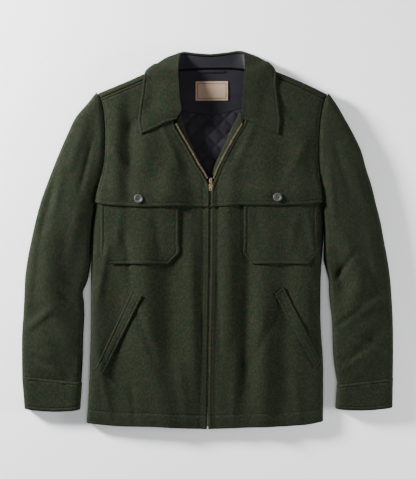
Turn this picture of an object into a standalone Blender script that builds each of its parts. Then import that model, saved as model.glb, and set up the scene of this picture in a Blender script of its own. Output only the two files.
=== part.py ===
# Wool shirt jacket laid flat on its back, fronts up and the zip open to the chest.
# Sizes are in millimetres. X runs to the right of the picture, Y to the collar and Z up
# from the surface on which the jacket lies. Left and right are those of the picture.
import math

import bmesh
import bpy
from mathutils import Vector

MM = 0.001
WOOL = 2.6
LINING = 1.2
QUILT = 3.0
SEAM = 0.4
LAY = 0.4
ROLL = 12.0
TUCK = 26.0
FLAP = 18.0
FLAP_RAMP = 16.0
SHOULDER_GAP = 0.9
INSIDE_LAY = 1.0
HEM_STEP = 26.0
POCKET_LAY = 1.5
POCKET_LIFT = 5.0
COLLAR_LIFT = 3.2
NECK_PULL = 0.02
LINING_END = 108.0
FRONT_TOP = 84.0
ARMPIT = 67.0
ZIP_CENTRE = 5.5
SLIDER_Y = 121.0
PIN_HEIGHT = 2.1
BUTTON_RADIUS = 9.1

GREEN = (0.045, 0.062, 0.028)
DARK = (0.022, 0.020, 0.028)
TAN = (0.30, 0.21, 0.15)
HORN = (0.035, 0.036, 0.034)
BRASS = (0.36, 0.24, 0.14)

# Height of the top cloth above the surface: y, height
LOFT = (
    (-400, 19), (-300, 22), (-150, 25), (0, 27),
    (150, 29), (250, 28), (320, 26), (400, 24),
)

# Soft folds of the top cloth: x1, y1, x2, y2, half width, rise
FOLDS = (
    (-190, -100, -186, -330, 22, -3.0),
    (-133, 0, -126, -208, 20, 3.5),
    (-118, -230, -80, -385, 18, 3.0),
    (-80, -60, -77, -250, 18, -3.0),
    (-34, 0, -28, -301, 12, 2.5),
    (42, 123, 42, -208, 13, 2.5),
    (83, 0, 78, -332, 16, -4.5),
    (112, -125, 118, -374, 16, 3.5),
    (157, -60, 157, -360, 18, -3.0),
    (197, -42, 200, -180, 18, 2.5),
    (-188, 270, -190, 100, 14, 2.5),
    (-163, 270, -165, 90, 12, -2.5),
    (-126, 200, -130, 150, 16, 2.0),
    (-77, 150, -85, 80, 16, 2.5),
    (-50, 170, -18, 85, 12, -2.0),
    (48, 150, 45, 90, 12, 2.0),
    (116, 180, 118, 100, 18, 1.5),
    (192, 220, 190, 100, 18, 2.5),
    (60, 190, 38, 150, 11, -2.0),
    (-335, 20, -335, -90, 22, 3.5),
    (-285, 0, -282, -100, 14, -2.5),
    (-344, -167, -319, -208, 11, -3.0),
    (-319, -208, -280, -290, 11, -3.0),
    (-331, -125, -285, -208, 12, 3.5),
    (280, 0, 315, -84, 13, 3.5),
    (315, -84, 290, -160, 13, 3.0),
    (276, -60, 278, -100, 10, -2.5),
    (345, -200, 300, -250, 12, -2.5),
)

# Each side's outline in plan, from the shoulder down: x, y
SIDES = {
    "left": {
        "sign": -1,
        "armhole": (
            (-230, 304), (-225, 293), (-218, 266), (-215, 223), (-216, 175),
            (-220, 150), (-226, 115), (-233, 88), (-237, 67),
        ),
        "side": (
            (-237, 67), (-242, 20), (-243, -47), (-244, -125), (-244, -191),
            (-246, -249), (-248, -299), (-250, -341), (-253, -382),
        ),
        "outer": (
            (-230, 304), (-250, 280), (-271, 256), (-290, 218), (-306, 181),
            (-321, 144), (-335, 107), (-348, 69), (-360, 20), (-368, -18),
            (-377, -67), (-381, -142), (-385, -204), (-385, -285),
        ),
        "inner": (
            (-237, 67), (-243, 20), (-245, -38), (-246, -55), (-254, -92),
            (-262, -112), (-259, -140), (-259, -167), (-261, -200),
            (-262, -250), (-265, -297),
        ),
        "shoulder": ((-230, 304), (-190, 320), (-157, 334), (-132, 345), (-93, 359)),
        "neck": ((-89, 345), (-83, 320), (-77, 289), (-73, 264), (-71, 243)),
        "opening": ((-71, 241), (-56, 214), (-39, 185), (-23, 156), (-10, 136), (-2, 121)),
        "hem": ((-253, -382), (-186, -388), (-103, -389), (-54, -392), (-1, -394)),
        "flap_edge": ((-236, 78), (-215, 71), (-138, 67), (-61, 68), (5, 67)),
        "pocket": (-222, -60, -51, -28, 22, 22),
        "welt": ((-158, -107), (-135, -116), (-233, -266), (-218, -281)),
        "facing": ((-56, 262), (-47, 227), (-34, 196), (-18, 165), (-5, 140), (2, 130)),
        "cuff": ((-385, -286), (-380, -351), (-265, -298), (-269, -353)),
        "button": (-143, 84, 0.1),
    },
    "right": {
        "sign": 1,
        "armhole": (
            (249, 302), (244, 291), (238, 266), (233, 227), (232, 175),
            (234, 144), (236, 109), (239, 84), (242, 67),
        ),
        "side": (
            (242, 67), (241, 9), (236, -55), (234, -92), (234, -167),
            (236, -204), (238, -229), (240, -266), (240, -382),
        ),
        "outer": (
            (249, 302), (265, 280), (279, 256), (300, 218), (317, 181),
            (327, 144), (339, 107), (348, 69), (360, 20), (366, -18),
            (375, -67), (381, -142), (383, -204), (383, -288),
        ),
        "inner": (
            (242, 67), (243, 9), (242, -47), (244, -57), (252, -76),
            (253, -105), (255, -130), (259, -160), (261, -204),
            (263, -250), (271, -302),
        ),
        "shoulder": ((249, 302), (224, 314), (190, 330), (157, 343), (132, 353), (99, 363)),
        "neck": ((93, 350), (87, 320), (81, 289), (78, 264), (75, 243)),
        "opening": ((75, 241), (57, 212), (42, 185), (28, 158), (19, 138), (13, 121)),
        "hem": ((240, -378), (211, -384), (161, -388), (95, -390), (0, -394)),
        "flap_edge": ((241, 78), (215, 72), (144, 70), (64, 71), (5, 67)),
        "pocket": (227, 74, -51, -29, 21, 17),
        "welt": ((157, -99), (138, -113), (233, -251), (223, -268)),
        "facing": ((67, 266), (60, 250), (49, 232), (30, 189), (14, 154), (9, 134)),
        "cuff": ((383, -289), (382, -348), (271, -303), (268, -351)),
        "button": (143, 87, 0.6),
    },
}

# Sections of the collar's fall from the middle of the back to the front end.
# Fold, two points on the way and the outer edge: x, y, z of each
FALL = {
    "left": (
        ((5, 384, 8.5), (5, 387.5, 4), (5, 381, 0), (5, 318, 0)),
        ((-28, 386, 9), (-28, 389.5, 4.4), (-28, 383, 0), (-32, 317, 0)),
        ((-50, 388, 11), (-54, 392, 5), (-55, 384, 0), (-64, 315, 0)),
        ((-58, 385, 16), (-69, 387, 7), (-74, 377, 0), (-90, 317, 0)),
        ((-60, 374, 24), (-86, 380, 11), (-90, 368, 0), (-100, 325, 0)),
        ((-61, 363, 31), (-104, 368, 14), (-106, 359, 0), (-110, 336, 0)),
        ((-61, 353, 35), (-107, 365, 20), (-116, 362, 8), (-117, 354, 0)),
        ((-61, 346, 37), (-101, 354, 34), (-120, 357, 26), (-128, 354, 14)),
        ((-61, 338, 38.5), (-95, 342, 37.5), (-118, 344, 34.5), (-132, 341, 32)),
        ((-60, 325, 40), (-88, 325, 38), (-115, 323, 34), (-135, 318, 30)),
        ((-59, 305, 41), (-88, 303, 39), (-115, 300, 34), (-138, 294, 31)),
        ((-57, 285, 41), (-88, 281, 39), (-116, 276, 34), (-142, 268, 31)),
        ((-55, 266, 40), (-88, 259, 38), (-117, 250, 34), (-144, 240, 31)),
        ((-66, 247, 35), (-88, 240, 35), (-108, 230, 33), (-139, 217, 31)),
    ),
    "right": (
        ((5, 384, 8.5), (5, 387.5, 4), (5, 381, 0), (5, 318, 0)),
        ((38, 387, 9), (38, 390.5, 4.4), (38, 384, 0), (42, 318, 0)),
        ((66, 390, 11), (70, 394, 5), (71, 386, 0), (76, 318, 0)),
        ((75, 387, 16), (85, 389, 7), (90, 379, 0), (102, 321, 0)),
        ((76, 376, 24), (102, 382, 11), (106, 370, 0), (112, 329, 0)),
        ((76, 366, 31), (118, 372, 14), (120, 360, 0), (122, 338, 0)),
        ((76, 357, 35), (120, 369, 20), (129, 365, 8), (130, 355, 0)),
        ((76, 350, 37), (115, 358, 34), (132, 360, 26), (138, 357, 14)),
        ((75, 341, 38.5), (108, 345, 37.5), (129, 347, 34.5), (141, 343, 32)),
        ((74, 327, 40), (100, 327, 38), (123, 325, 34), (141, 319, 30)),
        ((72, 306, 41), (99, 305, 39), (124, 301, 34), (144, 295, 31)),
        ((71, 285, 41), (98, 283, 39), (124, 277, 34), (147, 268, 31)),
        ((70, 266, 40), (98, 260, 38), (124, 252, 34), (149, 244, 31)),
        ((74, 247, 35), (94, 240, 35), (112, 230, 33), (146, 216, 31)),
    ),
}

# Lower edge of the inner collar, from the middle of the back to the front end: x, y, z
STAND = {
    "left": (
        (5, 358, 7.6), (-30, 357.5, 7.6), (-56, 356, 8.5), (-72, 353, 11), (-79, 348, 16),
        (-80, 343, 22), (-80, 338, 26), (-80, 333, 28), (-80, 325, 29.5), (-78, 312, 31),
        (-75, 295, 32), (-71, 277, 32), (-67, 260, 32), (-66, 250, 31.5),
    ),
    "right": (
        (5, 358, 7.6), (40, 358, 7.6), (62, 357, 8.5), (77, 355, 11), (84, 351, 16),
        (85, 346, 22), (85, 341, 26), (85, 335, 28), (85, 326, 29.5), (83, 313, 31),
        (80, 296, 32), (77, 277, 32), (73, 260, 32), (72, 250, 31.5),
    ),
}

# Heights along the side seam of the rows that the fronts and the back have in common
SIDE_ROWS = (67, 61, 55, 40, 20, 0, -23, -50, -80, -110, -140, -170, -200, -235, -270, -305, -340)

# Lower edge of the dark facing inside the back neck: x, y
NECK_FACING = ((-72, 272), (-31, 265), (9, 260), (48, 268), (78, 276))
NECK_SEAM = ((-84, 344), (-66, 351), (-35, 354), (5, 355), (45, 355), (70, 353), (88, 347))

# Columns of a front panel: distances from the front edge, then even ones, then the roll
ACROSS = (0, 3, 6.5, 11, 16)
PANEL_COLUMNS = 9
SIDE_ANGLES = (30, 60, 90)
SLEEVE_STEPS = (0, 0.12, 0.24, 0.36, 0.46, 0.57, 0.68, 0.79, 0.88, 1.0)
ROW_STEPS = (0, 0.12, 0.24, 0.36, 0.46, 0.57, 0.68, 0.79, 0.88, 0.94, 1.0)


def clear_scene():
    for item in list(bpy.data.objects):
        bpy.data.objects.remove(item, do_unlink=True)


def material(name, colour, roughness, metallic=0.0):
    made = bpy.data.materials.new(name)
    made.use_nodes = True
    shader = made.node_tree.nodes["Principled BSDF"]
    shader.inputs["Base Color"].default_value = (*colour, 1)
    shader.inputs["Roughness"].default_value = roughness
    shader.inputs["Metallic"].default_value = metallic
    return made


def mix(a, b, t):
    return a + (b - a) * t


def ease(low, high, value):
    t = min(1.0, max(0.0, (value - low) / (high - low)))
    return t * t * (3 - 2 * t)


def table(rows, value):
    """Read a two-column table that runs up or down in its first column."""
    if rows[0][0] > rows[-1][0]:
        rows = rows[::-1]
    if value <= rows[0][0]:
        return rows[0][1]
    for (x1, y1), (x2, y2) in zip(rows, rows[1:]):
        if value <= x2:
            return mix(y1, y2, (value - x1) / (x2 - x1))
    return rows[-1][1]


def smooth(points, pieces=8):
    """Pass a smooth curve through points."""
    points = [Vector(p) for p in points]
    ends = [points[0] * 2 - points[1]] + points + [points[-1] * 2 - points[-2]]
    path = [points[0]]
    for i in range(len(points) - 1):
        a, b, c, d = ends[i:i + 4]
        for k in range(1, pieces + 1):
            t = k / pieces
            path.append(0.5 * (
                2 * b + (c - a) * t + (2 * a - 5 * b + 4 * c - d) * t * t
                + (3 * b - a - 3 * c + d) * t * t * t
            ))
    return path


def length(path):
    return sum((b - a).length for a, b in zip(path, path[1:]))


def along(path, distance):
    """The point at a distance along a path."""
    if distance <= 0:
        return path[0].copy()
    for a, b in zip(path, path[1:]):
        step = (b - a).length
        if distance <= step:
            return a.lerp(b, distance / step)
        distance -= step
    return path[-1].copy()


def share(path, t):
    return along(path, length(path) * t)


def away(point, a, b):
    """Distance from a point to the segment between a and b."""
    line = b - a
    t = max(0.0, min(1.0, (point - a).dot(line) / line.length_squared))
    return (point - a - line * t).length


def gap_line(y):
    return mix(-1.0, 5.0, ease(-394, 60, y))


CREASES = {name: smooth(side["armhole"], 3) for name, side in SIDES.items()}


def height(x, y):
    """Height of the top cloth's outer face over the surface."""
    here = Vector((x, y))
    z = table(LOFT, y)
    for x1, y1, x2, y2, width, rise in FOLDS:
        reach = away(here, Vector((x1, y1)), Vector((x2, y2))) / width
        if reach < 3:
            z += rise * math.exp(-reach * reach)
    crease = CREASES["left" if x < 0 else "right"]
    reach = min(away(here, a, b) for a, b in zip(crease, crease[1:]))
    z -= 4.5 * math.exp(-(reach / 8) ** 2)
    edge = abs(x - gap_line(y))
    if y < SLIDER_Y and edge < 30:
        z += 1.8 * math.exp(-((edge - 6) / 4) ** 2)
        z -= 1.0 * math.exp(-((edge - 15) / 3) ** 2)
    return z


def turn(z_edge, z_top, reach):
    """Height where cloth rolls over an edge, by its distance in from the edge."""
    far = 1 - min(max(reach, 0), ROLL) / ROLL
    return mix(z_edge, z_top, math.sqrt(1 - far * far))


def seam_top(x, y):
    """Height of the armhole seam on the upper side, falling at the armpit."""
    z = height(x, y)
    return turn(z / 2, z, y - ARMPIT)


def back_level(x, y):
    """Height of the back's lower face, raised where the collar lies beneath it."""
    beneath = ease(286, 312, y) * (1 - ease(146, 164, abs(x - 4)))
    return COLLAR_LIFT * beneath


def side_edge(side, y):
    return table([(p[1], p[0]) for p in side["side"]], y)


def front_level(side, x, y):
    """Height of the front's outer face, with its roll at the side."""
    reach = abs(side_edge(side, y) - x)
    z = height(x, y)
    if y > ARMPIT:
        return z
    return turn(z / 2, z, reach)


def sheet(name, rows, wall, look, ring=False, up=True, even=True):
    """Make a cloth wall from rows of points on its outer face; None leaves a gap."""
    mesh = bpy.data.meshes.new(name)
    build = bmesh.new()
    grid = [[None if p is None else build.verts.new(Vector(p) * MM) for p in row] for row in rows]
    count = len(grid[0])
    for upper, lower in zip(grid, grid[1:]):
        for i in range(count if ring else count - 1):
            j = (i + 1) % count
            corners = [upper[i], upper[j], lower[j], lower[i]]
            if None not in corners:
                build.faces.new(corners)
    build.normal_update()
    build.faces.ensure_lookup_table()
    if (build.faces[1].normal.z > 0) != up:
        bmesh.ops.reverse_faces(build, faces=build.faces[:])
    for face in build.faces:
        face.smooth = True
    loose = [v for v in build.verts if not v.link_faces]
    bmesh.ops.delete(build, geom=loose, context="VERTS")
    build.to_mesh(mesh)
    build.free()
    mesh.materials.append(look)
    piece = bpy.data.objects.new(name, mesh)
    jacket.objects.link(piece)
    thick = piece.modifiers.new("Wall", "SOLIDIFY")
    thick.thickness = wall * MM
    thick.offset = -1
    thick.use_even_offset = even
    thick.use_rim = True
    return piece


def armhole_points(side):
    """Points of the armhole seam in plan, from the shoulder's roll to the armpit's."""
    path = smooth(side["armhole"])
    span = length(path)
    return [along(path, ROLL + (span - 2 * ROLL) * t) for t in ROW_STEPS]


def shoulder_point(side, t, inward):
    """A point inward of the shoulder's outline, t from the armhole to the neck."""
    path = smooth(side["shoulder"])
    here = share(path, t)
    ahead = share(path, min(1, t + 0.02)) - share(path, max(0, t - 0.02))
    ahead.normalize()
    normal = Vector((ahead.y, -ahead.x))
    if normal.y > 0:
        normal = -normal
    return here + normal * inward


def make_yoke(name, side):
    """Upper front from the shoulder seam to its free edge over the pockets."""
    sign = side["sign"]
    seam = armhole_points(side)
    edge = smooth(side["neck"])[:-1] + smooth(side["opening"])
    edge += [Vector((ZIP_CENTRE + sign * 3.4, 112)), Vector((gap_line(100) + sign * 1.0, 100))]
    edge += [Vector((gap_line(67) + sign * 1.0, 67))]
    low = [(p[0], p[1]) for p in side["flap_edge"]]
    rows = []
    for k, t in enumerate(ROW_STEPS):
        outer = seam[k]
        inner = share(edge, t)
        span = (inner - outer).length
        row = []
        for i, u in enumerate(column_steps(span)):
            if k == 0:
                point = shoulder_point(side, u, ROLL + 0.5 + 2 * SEAM)
            else:
                point = outer.lerp(inner, u)
            if i == 0:
                point.x -= sign * SEAM
            bottom = table(low, point.x)
            if k == len(ROW_STEPS) - 1:
                point.y = bottom
            rise = 1 - ease(bottom + FLAP, bottom + FLAP + FLAP_RAMP, point.y)
            z = height(point.x, point.y) + rise * (WOOL + LAY + over_pocket(side, point.x))
            row.append((point.x, point.y, z))
        rows.append(row)
    return sheet(name, rows, WOOL, wool)


def column_steps(span):
    """Shares of a row's span at the columns that the yoke and the front have in common."""
    steps = [ROLL * (1 - math.sin(math.radians(a))) for a in SIDE_ANGLES[::-1]]
    start, stop = ROLL, span - ACROSS[-1]
    steps += [mix(start, stop, k / PANEL_COLUMNS) for k in range(PANEL_COLUMNS + 1)]
    steps += [span - a for a in ACROSS[-2::-1]]
    return [step / span for step in steps]


def over_pocket(side, x):
    low, high = sorted(side["pocket"][:2])
    return POCKET_LIFT * ease(low - 14, low - 2, x) * (1 - ease(high + 2, high + 14, x))


def make_front(name, side):
    """Front from under the yoke to the hem, round the side and tucked beneath."""
    sign = side["sign"]
    below = (120, 150, 180)
    bottom = side_bottom(side)
    rows = []
    for y_side in (FRONT_TOP, 75, *SIDE_ROWS, bottom + 12, bottom):
        v = (FRONT_TOP - y_side) / (FRONT_TOP - bottom)
        x_side = side_edge(side, y_side) if y_side < ARMPIT else armhole_x(side, y_side)
        x_side -= sign * (SEAM if y_side >= ARMPIT - 1 else 0)
        x_middle = gap_line(y_side) + sign * 1.0
        steps = column_steps(abs(x_side - x_middle))
        xs = [mix(x_side, x_middle, u) for u in steps[::-1]]
        row = []
        for x in xs:
            y = FRONT_TOP + v * (table(side["hem"], x) - FRONT_TOP)
            level = height(x, y)
            edge_z = seam_top(x_side, y) if y_side > ARMPIT else level / 2
            row.append((x, y, turn(edge_z, level, abs(x_side - x))))
        edge_y = row[-1][1]
        half = row[-1][2]
        if y_side > ARMPIT + 1:
            row += [None] * (len(below) + 2)
        else:
            turned = ease(ARMPIT, ARMPIT - ROLL, y_side)
            for a in below:
                angle = math.radians(90 + (a - 90) * max(turned, 0.05))
                x = x_side - sign * ROLL * (1 - math.sin(angle))
                row.append((x, edge_y, half * (1 + math.cos(angle))))
            tuck = tuck_width(y_side)
            x, y, z = row[-1]
            row.append((x - sign * tuck / 2, edge_y, z * 0.5 if turned < 1 else 0))
            row.append((x - sign * tuck, edge_y, 0 if turned >= 1 else z * 0.3))
        rows.append(row)
    return sheet(name, rows, WOOL, wool)


def side_bottom(side):
    return side["side"][-1][1]


def armhole_x(side, y):
    path = smooth(side["armhole"])
    for a, b in zip(path, path[1:]):
        if b.y <= y <= a.y:
            return mix(b.x, a.x, (y - b.y) / (a.y - b.y))
    return path[-1].x


def tuck_width(y):
    """How far the front reaches under the side, beyond its roll."""
    return table(((ARMPIT - 90, TUCK), (ARMPIT - 6, 0.8)), y)


def side_seam(side, y):
    """The side seam's place on the underside."""
    return side_edge(side, y) - side["sign"] * (ROLL + tuck_width(y) + 2 * SEAM)


def make_back():
    """Back on the surface, up round the shoulders to the forward shoulder seams."""
    shoulder = (0, 0.25, 0.5, 0.72, 1.0)
    neck = (0.15, 0.32, 0.5, 0.68, 0.85)
    neck_path = smooth(NECK_SEAM)
    top = [shoulder_point(SIDES["left"], t, ROLL) for t in shoulder]
    top += [share(neck_path, t) for t in neck]
    top += [shoulder_point(SIDES["right"], t, ROLL) for t in shoulder[::-1]]
    columns = len(top)
    fractions = [(p.x - top[0].x) / (top[-1].x - top[0].x) for p in top]
    rows = []
    # Rows over the left and right shoulder, from the seam on top down to the underside
    for angle in (-8, 0, 30, 60, 90, 120, 150):
        row = [None] * columns
        for n, side in SIDES.items():
            for k, t in enumerate(shoulder):
                inward = ROLL * (1 - math.sin(math.radians(max(angle, 0))))
                inward += 0.5 if angle < 0 else 0
                p = shoulder_point(side, t, inward)
                crown = shoulder_point(side, t, ROLL)
                low = back_level(p.x, p.y)
                z = mix(low, height(crown.x, crown.y), (1 + math.cos(math.radians(max(angle, 0)))) / 2)
                if k == 0:
                    p.x -= side["sign"] * SHOULDER_GAP
                row[k if n == "left" else columns - 1 - k] = (p.x, p.y, z)
        rows.append(row)
    rows.append([(p.x, p.y, back_level(p.x, p.y)) for p in top])
    rows[-1][0] = (top[0].x + SHOULDER_GAP, top[0].y, rows[-1][0][2])
    rows[-1][-1] = (top[-1].x - SHOULDER_GAP, top[-1].y, rows[-1][-1][2])
    # Rows between the armholes: step of the armhole, y in the middle
    for step, middle in ((0.04, 322), (0.08, 302), (0.16, 284), (0.36, 230), (0.57, 180),
                         (0.79, 125), (1.0, 82)):
        ends = [armhole_at(SIDES[n], step) for n in ("left", "right")]
        row = []
        for u in fractions:
            x = mix(ends[0].x + SEAM, ends[1].x - SEAM, u)
            y = mix(mix(ends[0].y, ends[1].y, u), middle, ease(0, 0.3, min(u, 1 - u)))
            row.append((x, y, back_level(x, y)))
        rows.append(row)
    # Rows between the side seams
    bottom = side_bottom(SIDES["left"])
    for y in (*SIDE_ROWS[2::2], bottom + 2):
        row = []
        for u in fractions:
            x = mix(side_seam(SIDES["left"], y), side_seam(SIDES["right"], y), u)
            rise = HEM_STEP * math.sin(math.pi * u) ** 0.7 if y < SIDE_ROWS[-1] else 0
            row.append((x, y + rise, 0))
        rows.append(row)
    return sheet("back", rows, WOOL, wool)


def armhole_at(side, t):
    path = smooth(side["armhole"])
    span = length(path)
    return along(path, ROLL + (span - 2 * ROLL) * t)


def make_sleeve(name, side):
    """Sleeve tube whose first ring is the armhole seam and last the cuff seam."""
    sign = side["sign"]
    outer = smooth(side["outer"])
    inner = smooth(side["inner"])
    armhole = smooth(side["armhole"])
    stations = 16
    angles = (90, 60, 30)
    under = (1.0, 0.66, 0.33, 0.0)
    rows = []
    for k in range(stations + 1):
        s = k / stations
        a = share(outer, s ** 1.08)
        b = share(inner, s ** 1.25)
        b.x += sign * (1.2 * ease(0.0, 0.08, s) + 0.2)
        straight = [a, b]
        ring = armhole if k == 0 else straight
        keep = (1 - ease(0, 0.42, s))
        span = length(straight)
        seam_span = length(armhole)
        chord = [armhole[0], armhole[-1]]

        def place(t, near=0.0):
            """Point of the ring: at its end t by the distance near, or between by its step t."""
            if near is None:
                w = (ROLL + (span - 2 * ROLL) * t) / span
                q = ROLL + (seam_span - 2 * ROLL) * t
            else:
                w = t + (1 - 2 * t) * near / span
                q = seam_span * t + (1 - 2 * t) * near
            bend = along(armhole, q) - share(chord, q / seam_span)
            point = a.lerp(b, w) + bend * keep
            if k == 0:
                point = along(armhole, q)
                point.x += sign * mix(SHOULDER_GAP, 0.2, ease(0, 2 * ROLL, q))
            return point

        row = []
        for angle in angles:
            reach = ROLL * (1 - math.sin(math.radians(angle)))
            p = place(0, reach)
            row.append((p.x, p.y, turn(crown(p, s) / 2, crown(p, s), reach)))
        for t in SLEEVE_STEPS:
            p = place(t, None)
            row.append((p.x, p.y, crown(p, s) + 2.5 * ease(0, 0.2, s) * math.sin(math.pi * t)))
        for angle in angles[::-1]:
            reach = ROLL * (1 - math.sin(math.radians(angle)))
            p = place(1, reach)
            row.append((p.x, p.y, turn(crown(p, s) / 2, crown(p, s), reach)))
        for angle in (60, 30):
            reach = ROLL * (1 - math.sin(math.radians(angle)))
            p = place(1, reach)
            row.append((p.x, p.y, crown(p, s) - turn(crown(p, s) / 2, crown(p, s), reach)))
        for t in under:
            p = place(t, None)
            row.append((p.x, p.y, 0))
        for angle in (30, 60):
            reach = ROLL * (1 - math.sin(math.radians(angle)))
            p = place(0, reach)
            row.append((p.x, p.y, crown(p, s) - turn(crown(p, s) / 2, crown(p, s), reach)))
        rows.append(row)
    return sheet(name, rows, WOOL, wool, ring=True)


def crown(point, s):
    return height(point.x, point.y) - 2 * ease(0.9, 1, s)


def make_cuff(name, side):
    """Cuff band below the sleeve, a flattened tube."""
    outer_top, outer_end, inner_top, inner_end = [Vector(p) for p in side["cuff"]]
    rows = []
    for k in range(4):
        s = k / 3
        a = outer_top.lerp(outer_end, s)
        b = inner_top.lerp(inner_end, s)
        span = (b - a).length
        row = []
        lows = []
        spots = [ROLL * (1 - math.sin(math.radians(q))) / span for q in (90, 60, 30, 0)]
        spots += [0.25, 0.42, 0.58, 0.75]
        spots += [1 - w for w in spots[:4]][::-1]
        for w in spots:
            p = a.lerp(b, w)
            p.y -= 4 * s * math.sin(math.pi * w)
            reach = span * min(w, 1 - w)
            level = height(p.x, p.y) + 0.6
            row.append((p.x, p.y, turn(level / 2, level, reach)))
            lows.append((p.x, p.y, level - turn(level / 2, level, reach)))
            if reach > ROLL - 0.01:
                lows[-1] = (p.x, p.y, 0)
        row += lows[-2:0:-1]
        rows.append(row)
    return sheet(name, rows, WOOL, wool, ring=True)


def make_pocket(name, side):
    """Patch pocket on the front, its lower corners cut off."""
    outer, inner, bottom, corner, cut_outer, cut_inner = side["pocket"]
    sign = side["sign"]
    rows = []
    ys = (80, 72, 58, 36, 14, -8, corner, mix(corner, bottom, 0.5), bottom)
    for y in ys:
        cut = max(0.0, (corner - y) / (corner - bottom))
        a = outer - sign * cut_outer * cut
        b = inner + sign * cut_inner * cut
        row = []
        for i in range(9):
            x = mix(a, b, i / 8)
            row.append((x, y, front_level(side, x, y) + POCKET_LAY + WOOL))
        rows.append(row)
    return sheet(name, rows, WOOL, wool)


def make_welt(name, side):
    """Slanting welt of the lower pocket."""
    a, b, c, d = [Vector(p) for p in side["welt"]]
    rows = []
    for k in range(10):
        s = k / 9
        row = []
        for i in range(4):
            p = a.lerp(c, s).lerp(b.lerp(d, s), i / 3)
            row.append((p.x, p.y, front_level(side, p.x, p.y) + POCKET_LAY + WOOL))
        rows.append(row)
    return sheet(name, rows, WOOL, wool)


# Places along a section's smooth path, six to each of its three stretches
FALL_COLUMNS = (0, 2, 4, 6, 9, 12, 15, 18)


def fall_rows(name):
    """Sections of the collar's fall, each from under the fold to the outer edge."""
    rows = []
    for k, section in enumerate(FALL[name]):
        path = smooth(section, 6)
        row = []
        for i in FALL_COLUMNS:
            p = path[i]
            p.z = max(p.z, 0.0)
            if k > 7:
                p.z = max(p.z, height(p.x, p.y) + WOOL + 2.5 * LAY)
            row.append(p)
        rows.append(row)
    return rows


def make_collar():
    """The collar's fall, from one front end round the back to the other."""
    left = fall_rows("left")
    right = fall_rows("right")
    rows = left[::-1] + right[1:]
    rows = [[tuple(p) for p in row] for row in rows]
    return sheet("collar", rows, WOOL, wool, even=False)


def make_inner_collar():
    """Dark inner collar, from the neck seam up to the fold."""
    rows = []
    for name in ("left", "right"):
        half = []
        for k, (section, low) in enumerate(zip(FALL[name], STAND[name])):
            fold = Vector(section[0])
            low = Vector(low)
            lean = low - fold
            lean.z = 0
            aside = ease(0, 3, k)
            top = fold + lean.normalized() * mix(3.4, 2.0, aside)
            top.z -= mix(0.5, WOOL + 2.2, aside)
            half.append([tuple(top.lerp(low, t)) for t in (0, 0.33, 0.66, 1)])
        rows.append(half)
    return sheet("inner_collar", rows[0][::-1] + rows[1][1:], LINING, dark)


def inside_back(x, y, lift):
    return back_level(x, y) + WOOL + INSIDE_LAY + lift


def make_neck_facing():
    """Dark half-round facing inside the back neck."""
    upper = smooth(NECK_SEAM)
    lower = smooth(NECK_FACING)
    rows = []
    for k in range(8):
        row = []
        for i in range(11):
            u = i / 10
            p = share(upper, u).lerp(share(lower, u), k / 7)
            p.x = mix(p.x, ZIP_CENTRE, NECK_PULL)
            p.y -= 1.0 if k == 0 else 0
            row.append((p.x, p.y, inside_back(p.x, p.y, LINING)))
        rows.append(row)
    return sheet("neck_facing", rows, LINING, dark)


def make_lining():
    """Quilted lining of the back, as far as the open neck shows it."""
    upper = smooth(NECK_FACING)
    rows = []
    for k in range(7):
        s = k / 6
        row = []
        for i in range(9):
            u = i / 8
            p = share(upper, u)
            p.y -= SEAM + 0.3
            p.y = mix(p.y, LINING_END, s)
            p.x = mix(p.x, mix(-38, 48, u), s)
            row.append((p.x, p.y, inside_back(p.x, p.y, QUILT)))
        rows.append(row)
    return sheet("back_lining", rows, QUILT, dark)


def make_label():
    """Plain woven label on the neck facing."""
    rows = []
    for k in range(6):
        y = mix(330, 290, k / 5)
        row = []
        for i in range(5):
            x = mix(-26, 42, i / 4)
            row.append((x, y, inside_back(x, y, LINING) + INSIDE_LAY + 0.6))
        rows.append(row)
    return sheet("label", rows, 0.8, tan)


def make_hanger_loop():
    """Narrow loop across the back neck seam."""
    rows = []
    for k in range(3):
        row = []
        for i in range(9):
            u = i / 8
            x = mix(-23, 36, u)
            y = 352.5 - k * 2.2
            row.append((x, y, inside_back(x, y, LINING) + LAY + 1.0 + 1.2 * math.sin(math.pi * u)))
        rows.append(row)
    return sheet("hanger_loop", rows, 1.0, dark)


def make_facing(name, side):
    """Green facing inside the open front, sloping down into the neck."""
    sign = side["sign"]
    inner = smooth(side["facing"])
    outer = smooth(side["opening"])
    rows = []
    for k in range(9):
        s = k / 8
        a = share(outer, 0.9 * s)
        a.x -= sign * 5.0
        b = share(inner, s)
        z = height(a.x + sign * 7.4, a.y)
        if (a.x - b.x) * sign < 3:
            b.x = a.x - sign * 3
        row = []
        for i in range(4):
            p = a.lerp(b, i / 3)
            row.append((p.x, p.y, z - 2.6 - 4.0 * (i / 3) ** 1.5))
        rows.append(row)
    return sheet(name, rows, WOOL, wool)


def make_zip_side(name, side):
    """Tape and teeth along one side of the open zip."""
    sign = side["sign"]
    path = smooth(side["opening"])
    rows = []
    for k in range(13):
        p = share(path, mix(0.02, 0.95, k / 12))
        z = height(p.x + sign * 2, p.y) - 0.2
        rows.append([(p.x - sign * q, p.y, z) for q in (1.2, 3.0, 5.0)])
    return sheet(name, rows, 1.6, brass)


def make_zip_chain():
    """Closed part of the zip, beneath the two front edges."""
    rows = []
    for k in range(17):
        y = mix(104, -388, k / 16)
        x = gap_line(y)
        z = height(x, y) - WOOL - LAY + 0.1
        rows.append([(x - 3, y, z), (x, y, z), (x + 3, y, z)])
    return sheet("zip_chain", rows, 1.6, brass)


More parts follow.
